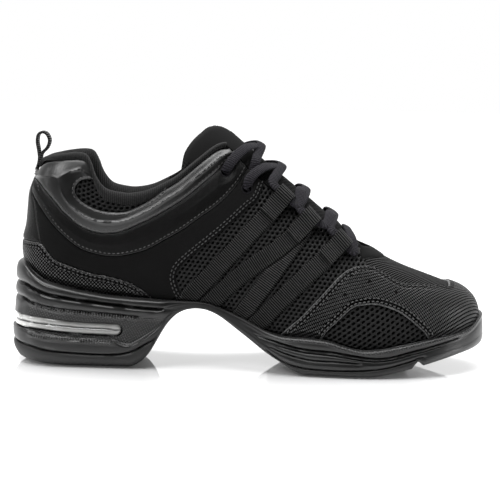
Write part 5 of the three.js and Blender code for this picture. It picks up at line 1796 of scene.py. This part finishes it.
def tooth_rubber_painted_highlight():
    # The black rubber teeth are painted light grey: a painted highlight, over a real coat.
    look = Looks("tooth rubber with painted highlight", Coat_Weight=0.6, Coat_Roughness=0.12, Roughness=0.3)
    cloud = look.noise(look.object_place(), 0.3, 2.0)
    return look.dress(look.blend(cloud, grey(0.08), grey(0.16)))


def tongue_cloth():
    """Coarse net low on the tongue and smooth cloth at its padded top."""
    look = Looks("tongue cloth", Sheen_Weight=0.005, Sheen_Roughness=0.4, Specular_IOR_Level=0.06)
    holes = look.scaled(look.dots(look.surface(30), 1.9), 0.25, 0.4)
    height = look.node("ShaderNodeSeparateXYZ", {"Vector": look.object_place()}).outputs["Z"]
    net = look.scaled(height, 112, 116, 1.0, 0.0)
    open_net = look.math("SUBTRACT", 1.0, look.product(look.math("SUBTRACT", 1.0, holes), net))
    fine = look.ribs(look.surface(0), 0.7)
    fuzz = look.noise(look.object_place(), 1.6, 4.0)
    return look.dress(
        look.blend(open_net, grey(0.0005), grey(0.008)), 0.8,
        [(open_net, 0.5, 0.7), (fine, 0.08, 0.3), (fuzz, 0.1, 0.3)],
    )


def floor_look():
    look = Looks("white floor", Roughness=0.04, Specular_IOR_Level=0.6, Coat_Weight=0.8, Coat_IOR=1.9,
                 Coat_Roughness=0.02)
    stain = look.noise(look.object_place(1.0), 3.0, 2.0)
    look.link(look.blend(stain, (0.86, 0.86, 0.87), (0.9, 0.9, 0.9)), "Base Color")
    # The floor glows: painted light that keeps it white, weaker near the shoe so that its shadow and
    # reflection show.
    look.shader.inputs["Emission Color"].default_value = (1, 1, 1, 1)
    centred = look.node("ShaderNodeMapping", {"Vector": look.node("ShaderNodeTexCoord").outputs["Object"]})
    centred.inputs["Location"].default_value = (-0.09 / 0.17, 0, 0)
    centred.inputs["Scale"].default_value = (1 / 0.17, 1 / 0.1, 1)
    away = look.node("ShaderNodeVectorMath", {0: centred.outputs["Vector"]}, operation="LENGTH")
    look.link(look.scaled(away.outputs["Value"], 0.6, 1.9, 0.07, 0.62), "Emission Strength")
    return look.material


# From meshes to Blender
def to_object(name, mesh, material, smooth_angle=40.0):
    """Blender object of a mesh, in the row frame."""
    points = (mesh.points - [REST_X, 0, 0]) * MM
    used = sorted({i for face in mesh.faces for i in face})
    renumber = {old: new for new, old in enumerate(used)}
    data = bpy.data.meshes.new(name)
    faces = [[renumber[i] for i in face] for face in mesh.faces]
    data.from_pydata(points[used].tolist(), [], faces)
    layer = data.uv_layers.new(name="surface")
    corner = np.empty(len(data.loops), dtype=np.int32)
    data.loops.foreach_get("vertex_index", corner)
    layer.data.foreach_set("uv", mesh.places[used][corner].astype(np.float32).reshape(-1))
    edge = data.attributes.new("edge", "FLOAT", "POINT")
    edge.data.foreach_set("value", mesh.edges[used].astype(np.float32))
    data.materials.append(material)
    data.shade_smooth()
    data.set_sharp_from_angle(angle=math.radians(smooth_angle))
    data.validate()
    made = bpy.data.objects.new(name, data)
    bpy.context.scene.collection.objects.link(made)
    return made


def place_piece(name, mesh, material, replaced=None, smooth_angle=40.0):
    """Put a piece in the scene: it rides with the shoe and stands in for CAD nodes, by itself its own."""
    made = to_object(name + "_made", mesh, material, smooth_angle)
    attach(made, "root")
    nodes = [name] if replaced is None else replaced
    if nodes:
        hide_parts(*nodes)
    return made


# Materials of the shoe
gloss = leather("collar gloss", 0.9, (0.1, 2.0), (0.33, 0.4), 0.12, (0.04, 0.2),
                Coat_Weight=0.05, Coat_Roughness=0.25, Specular_IOR_Level=0.45)
band = leather("band leather", 0.8, (0.2, 4.0), (0.38, 0.46), 0.25, (0.08, 0.5), Specular_IOR_Level=0.09)
suede_look = suede()
dotted = embossed()
grosgrain = webbing()
braid = lace_cloth()
knitted = knit()
strands = strand_mesh()
backing = dark_backing()
tread_look = tread_rubber()
sewing = thread(0.022)


# Upper: dark backing, with the meshes that show over it
def level(height):
    return lambda edges: np.full(len(edges), height)


def behind_x(share):
    """Region behind a share of the shoe's length."""
    return lambda p: share * SHOE_LENGTH - p[..., 0]


def ahead_x(share):
    return lambda p: p[..., 0] - share * SHOE_LENGTH


VAMP_FACE = 0.1
VAMP_SHARE = 0.742
SIDE_MESH_TOP = 0.85 * SHOE_HEIGHT


def upper_field(points):
    inside = np.minimum(-throat_opening(points), -collar_opening(0)(points))
    return np.minimum(inside, 20.0)


backing_shell = overlay(upper_field, 1.4, level(BACKING_FACE), -UPPER_WALL)
place_piece("upper_backing", backing_shell, backing, ["upper"])
vamp_region = all_of(ahead_x(VAMP_SHARE), no_more_than(guard_outline, -1.2), throat_clear, above_lip)
vamp = overlay(vamp_region, 1.2, level(VAMP_FACE), BACKING_FACE, us=(120, BELLY_REACH), closed=False)
place_piece("vamp_mesh", vamp, vamp_mesh(), ["upper"])

side_region = all_of(
    no_more_than(guard_outline, -1.0), no_more_than(quarter_outline, -1.0), above_lip, throat_clear,
    collar_clear, lambda p: SIDE_MESH_TOP - p[..., 2], lambda p: behind_x(VAMP_SHARE)(p) + 0.5,
)
# Each mesh: its region, its holes' pitches and half sizes, and the frame that they lie in
MESHES = {
    "fore_mesh": (all_of(guard_window, above_lip, ahead_x(0.6)),
                  (3.2, 2.5, 1.15, 0.72, turned_frame(38))),
    "side_mesh": (side_region, (2.7, 2.3, 0.85, 0.66, turned_frame(54))),
    "collar_mesh": (all_of(collar_window, collar_clear, ahead_x(0.13)),
                    (2.5, 2.1, 0.78, 0.72, ring_frame(62, 122, 26))),
}
for name, (region, holes) in MESHES.items():
    place_piece(name, mesh_patch(region, oval_holes(*holes)), strands, ["upper"])


# Leather overlays
def puffed(high, radius=5.0):
    """Padded leather: a rounded edge and a soft swelling further in."""

    def top(edges):
        swell = high * (1 - np.exp(-np.clip(edges, 0, None) / radius))
        return rounded(edges, EDGE_ROUND, GAP + 0.3, OVERLAY_TOP) + swell

    return top


def edged(radius, low, high):
    """Flat piece with a rounded edge."""
    return lambda edges: rounded(edges, radius, low, high)


def both_sides(name, region, step, top, look):
    """An overlay piece on each side of the shoe."""
    for side, word in SIDES:
        shares = (-1, 0) if side < 0 else (0, 1)
        mesh = overlay(all_of(region, on_side(side)), step, top, shares=shares)
        place_piece(f"{name}_{word}", mesh, look)


off_stay = no_more_than(backstay_region, SEAM)
under_band = no_more_than(above(BAND_SEAM, -SEAM))
under_quarter_seam = no_more_than(above(QUARTER_SEAM, -SEAM))
over_counter = no_more_than(below(COUNTER_TOP, SEAM))
lowered_collar = no_more_than(collar_opening(-3.4))
strap_one = Ribbon(STRAPS["1"][0], -1, WEBBING_WIDTH + 2 * GAP)

collar_region = leather_field(band_seam, no_more_than(collar_window), off_stay, lowered_collar)
place_piece("collar_leather", overlay(collar_region, 0.75, puffed(2.3, 7.0)), gloss)
both_sides("collar_band", leather_field(quarter_seam, under_band, off_stay), 0.9, puffed(1.0, 4.0), band)
quarter_region = leather_field(quarter_outline, under_quarter_seam, over_counter, off_stay,
                               no_more_than(strap_one.field))
both_sides("quarter", quarter_region, 1.0, edged(0.6, GAP + 0.3, OVERLAY_TOP), suede_look)
counter_piece = overlay(leather_field(below(COUNTER_TOP, -SEAM)), 1.0, puffed(0.5, 3.0))
place_piece("heel_counter", counter_piece, dotted)
stay_region = leather_field(lambda p: backstay_region(p) - SEAM, over_counter, lowered_collar)
place_piece("backstay", overlay(stay_region, 0.8, puffed(0.4, 3.0)), band)
toe_piece = overlay(leather_field(guard_outline, no_more_than(guard_window)), 0.9, puffed(0.5, 2.5))
place_piece("toe_guard", toe_piece, dotted)
throat_region = leather_field(guard_base_plan, ahead_x(0.73), no_more_than(guard_outline, SEAM))
throat_piece = overlay(throat_region, 0.6, edged(3.2, -0.2, 0.7), -0.6)
place_piece("throat_guard", throat_piece, suede_look)

# Straps with their folds, and the laces they hold
ribbons = {(name, side): [Ribbon(rows, side, WEBBING_WIDTH) for rows in legs]
           for name, legs in STRAPS.items() for side, _ in SIDES}
strap_top = edged(0.7, GAP + 0.35, GAP + WEBBING_WALL)
STRAP_FOOT = 0.05
STRAP_INSIDE = 5.0
LACE_SMOOTH = 60.0


def strap_mesh(name, side):
    later = [ribbon.field for key in STRAPS if key > name for ribbon in ribbons[key, side]]
    clear_of = [no_more_than(field, GAP) for field in later]
    meshes = []
    for number, ribbon in enumerate(ribbons[name, side]):
        own = [no_more_than(other.field) for other in ribbons[name, side][:number]]
        field = all_of(everywhere(STRAP_INSIDE), above_lip, *clear_of, *own)
        meshes.append(ribbon_shell(ribbon, field, strap_top, STRAP_FOOT))
    meshes.append(fold(ribbons[name, side][0]))
    return joined(meshes)


for name in STRAPS:
    for side, word in SIDES:
        place_piece(f"strap_{word}_{name}", strap_mesh(name, side), grosgrain)

for number, mesh in enumerate(laces()):
    node = "lace_bar" if number == len(LACE_ROUTES) else f"lace_crossing_{number + 1}"
    place_piece(node, mesh, braid, smooth_angle=LACE_SMOOTH)

# Eyelet rims: out from the hole and up from the leather
RIM_SECTION = [(-0.1, 0.1), (0.2, 0.4), (0.6, 0.4), (0.9, 0.0)]
RIM_SIDES = 28


def eyelet_rim(x, z, side):
    centre, normal = (np.ravel(v) for v in side_point(x, z, side, OVERLAY_TOP - 0.25))
    first = np.cross(normal, [0, 0, 1.0])
    first /= np.linalg.norm(first)
    second = np.cross(normal, first)
    points = []
    for i in range(RIM_SIDES):
        angle = i / RIM_SIDES * 2 * math.pi
        way = first * math.cos(angle) + second * math.sin(angle)
        points += [centre + way * (EYELET_RADIUS + out) + normal * up for out, up in RIM_SECTION]
    return Mesh(np.array(points), grid_faces(RIM_SIDES, len(RIM_SECTION), ring_rows=True, ring_columns=True))


rims = [eyelet_rim(x, z, side) for side, _ in SIDES for x, z in EYELET_PLACES]
place_piece("eyelet_rims", joined(rims), braid, [])

# Tongue and collar lining
TONGUE_LOW = 0.3 * SHOE_HEIGHT
TONGUE_MIDDLE = -UPPER_WALL - GAP - TONGUE_WALL / 2
tongue_side = polygon_field(np.concatenate([
    side_line(TONGUE_TIP),
    [[TONGUE_FRONT_X, TONGUE_TIP.z[-1] * SHOE_HEIGHT], [TONGUE_FRONT_X, TONGUE_LOW],
     [TONGUE_TIP.x[0] * SHOE_LENGTH, TONGUE_LOW]],
]))
tongue_region = all_of(tongue_side, lambda p: TONGUE_HALF_WIDTH - np.abs(p[..., 1]))
tongue_mesh = overlay(
    tongue_region, 1.1, lambda edges: TONGUE_MIDDLE + rounded(edges, 2.6, 0.2, TONGUE_WALL / 2),
    -UPPER_WALL - GAP - TONGUE_WALL + 0.3, us=(60, 270), shares=(-0.6, 0.6),
)
tongue = place_piece("tongue", tongue_mesh, tongue_cloth())

lining_mesh = joined([collar_roll(side) for side, _ in SIDES])
lining = place_piece("collar_lining", lining_mesh, knitted, smooth_angle=60.0)


# Pull loop
def pull_loop():
    flat = spline(np.stack([PULL_TAPE.x * SHOE_LENGTH, PULL_TAPE.z * SHOE_HEIGHT], axis=-1), 0.8)
    path = np.stack([flat[:, 0], np.zeros(len(flat)), flat[:, 1]], axis=-1)
    along = np.gradient(path, axis=0)
    out = np.stack([-along[:, 2], np.zeros(len(path)), along[:, 0]], axis=-1)
    return tube(path, oval(PULL_TAPE_WIDTH, PULL_TAPE_WALL, 6.0, 20), lambda p: out)


place_piece("pull_loop", pull_loop(), webbing("loop tape", 0.008, 0.016))

# Insole
INSOLE_SHARE = 0.93


def insole_mesh():
    us = np.linspace(0, BELLY_REACH, 200)
    x = station(angle_of(us))
    rings = []
    for side, _ in SIDES:
        seat = form_point(x, side * SEAT_TURN)
        seat[:, 1] = middle_y(x) + (seat[:, 1] - middle_y(x)) * INSOLE_SHARE
        rings.append(seat + [0, 0, GAP + INSOLE_WALL])
    low = [ring - [0, 0, INSOLE_WALL] for ring in rings]
    points = np.concatenate([rings[0], rings[1], low[1], low[0]])
    faces = grid_faces(4, len(us), ring_rows=True, columns_first=True)
    return Mesh(points, welded(points, faces), points[:, :2])


place_piece("insole", insole_mesh(), knitted)

# Sole
place_piece("midsole", joined([midsole_skin(), rim()]), sole_foam())
place_piece("heel_tread", tread_skin(HEEL_TREAD_TOP), tread_look)
place_piece("forefoot_tread", tread_skin(FORE_TREAD_TOP), tread_look)
cell_mesh = clear_cell()
cell = place_piece("air_cell", cell_mesh, clear_plastic())
x, z = cell_mesh.points[:, 0], cell_mesh.points[:, 2]
used = sorted({i for face in cell_mesh.faces for i in face})
from_middle = ((z - cell_middle(x)) / cell_half(x))[used]
attribute = cell.data.attributes.new("band", "FLOAT", "POINT")
attribute.data.foreach_set("value", from_middle.astype(np.float32))
tooth_rows = [teeth(rows, side) for rows in TEETH for side, _ in SIDES]
place_piece("sole_teeth", joined(tooth_rows), tooth_rubber_painted_highlight(), [], 20.0)

# Stitches. Each row: its line, how far it lies to the line's left, its lift and where it shows.
open_side = all_of(throat_clear, collar_clear, above_lip)
seam_keep = all_of(open_side, no_more_than(backstay_region, 0.5))
front_keep = all_of(open_side, no_more_than(above(QUARTER_SEAM)), no_more_than(below(COUNTER_TOP)))
toe_keep = all_of(throat_clear, above_lip, behind_x(0.9))
UPPER_SEAMS = [
    (BAND_SEAM, 1.3, 0.3, seam_keep), (QUARTER_SEAM, 1.4, 0.2, seam_keep),
    (COUNTER_TOP, -1.3, 0.2, open_side), (COUNTER_TOP, -2.9, 0.3, open_side),
    (QUARTER_FRONT, 1.4, 0.0, front_keep), (QUARTER_FRONT, 3.0, 0.0, front_keep),
    (COLLAR_WINDOW, -1.3, 0.4, open_side),
]
GUARD_SEAMS = [
    (GUARD_TOP, -1.3, 0.3, toe_keep), (GUARD_TOP, -2.9, 0.3, toe_keep),
    (GUARD_WINDOW, 1.3, 0.3, above_lip), (GUARD_WINDOW, 2.9, 0.3, above_lip),
]
for name, seams, look in (("stitches", UPPER_SEAMS, sewing), ("guard_stitches", GUARD_SEAMS, thread(0.05))):
    sewn = []
    for side, _ in SIDES:
        for rows, by, lift, keep in seams:
            sewn += seam_stitches(rows, by, side, keep, OVERLAY_TOP + lift)
    place_piece(name, joined(sewn), look, [], 30.0)

# Punched dots of the toe guard
PUNCHED = [(200.0, 51.2), (215.0, 45.2), (187.0, 44.9)]
DOT_RADIUS = 0.75
DOT_SIDES = 10
DOT_LIFT = OVERLAY_TOP + 0.56


def punched_dot(x, z, side):
    angles = np.arange(DOT_SIDES) / DOT_SIDES * 2 * math.pi
    points, _ = side_point(x + DOT_RADIUS * np.cos(angles), z + DOT_RADIUS * np.sin(angles), side, DOT_LIFT)
    order = tuple(range(DOT_SIDES))
    return Mesh(points, [order if side < 0 else order[::-1]])


dots = [punched_dot(x, z, side) for side, _ in SIDES for x, z in PUNCHED]
place_piece("punched_dots", joined(dots), backing, [])


def in_scene(name, data):
    made = bpy.data.objects.new(name, data)
    bpy.context.scene.collection.objects.link(made)
    return made


# Camera at the photograph's angle
CAMERA_HEIGHT = math.radians(6.0)
CAMERA_ROLL = math.radians(1.4)
CAMERA_DISTANCE = 1.0
SENSOR = 36.0
MM_PER_PIXEL = 0.57
PICTURE_PIXELS = 500
target = Vector((134.52 - REST_X, 0, 64)) * MM
backward = Vector((0, -math.cos(CAMERA_HEIGHT), math.sin(CAMERA_HEIGHT)))
right = Vector((1, 0, 0))
up = backward.cross(right)
picture_right = right * math.cos(CAMERA_ROLL) + up * math.sin(CAMERA_ROLL)
picture_up = up * math.cos(CAMERA_ROLL) - right * math.sin(CAMERA_ROLL)
camera_data = bpy.data.cameras.new("camera")
camera_data.sensor_width = SENSOR
camera_data.lens = SENSOR * CAMERA_DISTANCE / (PICTURE_PIXELS * MM_PER_PIXEL * MM)
camera = in_scene("camera", camera_data)
rotation = Matrix((picture_right, picture_up, backward)).transposed()
camera.matrix_world = Matrix.Translation(target + backward * CAMERA_DISTANCE) @ rotation.to_4x4()
bpy.context.scene.camera = camera

# Floor, a hair under the sole
FLOOR_X = (-5.0, 5.0)
FLOOR_Y = (-0.37, 6.0)
FLOOR_Z = -0.0004
floor_data = bpy.data.meshes.new("floor")
corners = [(FLOOR_X[i], FLOOR_Y[j], FLOOR_Z) for i, j in ((0, 0), (1, 0), (1, 1), (0, 1))]
floor_data.from_pydata(corners, [], [(0, 1, 2, 3)])
floor = in_scene("floor", floor_data)
floor.data.materials.append(floor_look())

# Soft lights: place, aim, size and power
LIGHTS = {
    "overhead": ((0.1, 0.15, 1.1), (0.09, 0.03, 0.05), (1.3, 0.7), 24),
    "upper left": ((-0.75, -0.85, 0.95), (0.09, 0, 0.05), (0.6, 0.4), 12),
    "front top": ((-0.08, -0.4, 1.05), (0.12, -0.03, 0.06), (0.8, 0.32), 8),
    "heel side": ((-1.1, -0.1, 0.45), (0, 0, 0.07), (0.2, 0.6), 2.5),
    "toe side": ((1.1, -0.05, 0.3), (0.2, 0, 0.03), (0.3, 0.4), 3.5),
}
for name, (place, aim, size, power) in LIGHTS.items():
    light = bpy.data.lights.new(name, "AREA")
    light.shape = "RECTANGLE"
    light.size, light.size_y = size
    light.energy = power
    softbox = in_scene(name, light)
    softbox.location = place
    softbox.rotation_euler = (Vector(aim) - Vector(place)).to_track_quat("-Z", "Y").to_euler()

# White studio: the shoe is lit from behind the picture, and the camera sees plain white
world = bpy.data.worlds.new("white studio")
bpy.context.scene.world = world
world.use_nodes = True
nodes, links = world.node_tree.nodes, world.node_tree.links
background = nodes["Background"]
background.inputs["Strength"].default_value = 1.0
way = nodes.new("ShaderNodeTexCoord")
parts = nodes.new("ShaderNodeSeparateXYZ")
behind = nodes.new("ShaderNodeMapRange")
behind.interpolation_type = "SMOOTHSTEP"
for socket, value in (("From Min", -0.1), ("From Max", 0.75), ("To Min", 0.02), ("To Max", 1.0)):
    behind.inputs[socket].default_value = value
seen = nodes.new("ShaderNodeBackground")
seen.inputs["Color"].default_value = (1, 1, 1, 1)
seen.inputs["Strength"].default_value = 1.0
mix = nodes.new("ShaderNodeMixShader")
ray = nodes.new("ShaderNodeLightPath")
for output, socket in (
    (way.outputs["Generated"], parts.inputs[0]),
    (parts.outputs["Y"], behind.inputs["Value"]),
    (behind.outputs["Result"], background.inputs["Color"]),
    (ray.outputs["Is Camera Ray"], mix.inputs[0]),
    (background.outputs[0], mix.inputs[1]),
    (seen.outputs[0], mix.inputs[2]),
    (mix.outputs[0], nodes["World Output"].inputs[0]),
):
    links.new(output, socket)
bpy.context.scene.view_settings.view_transform = "Standard"
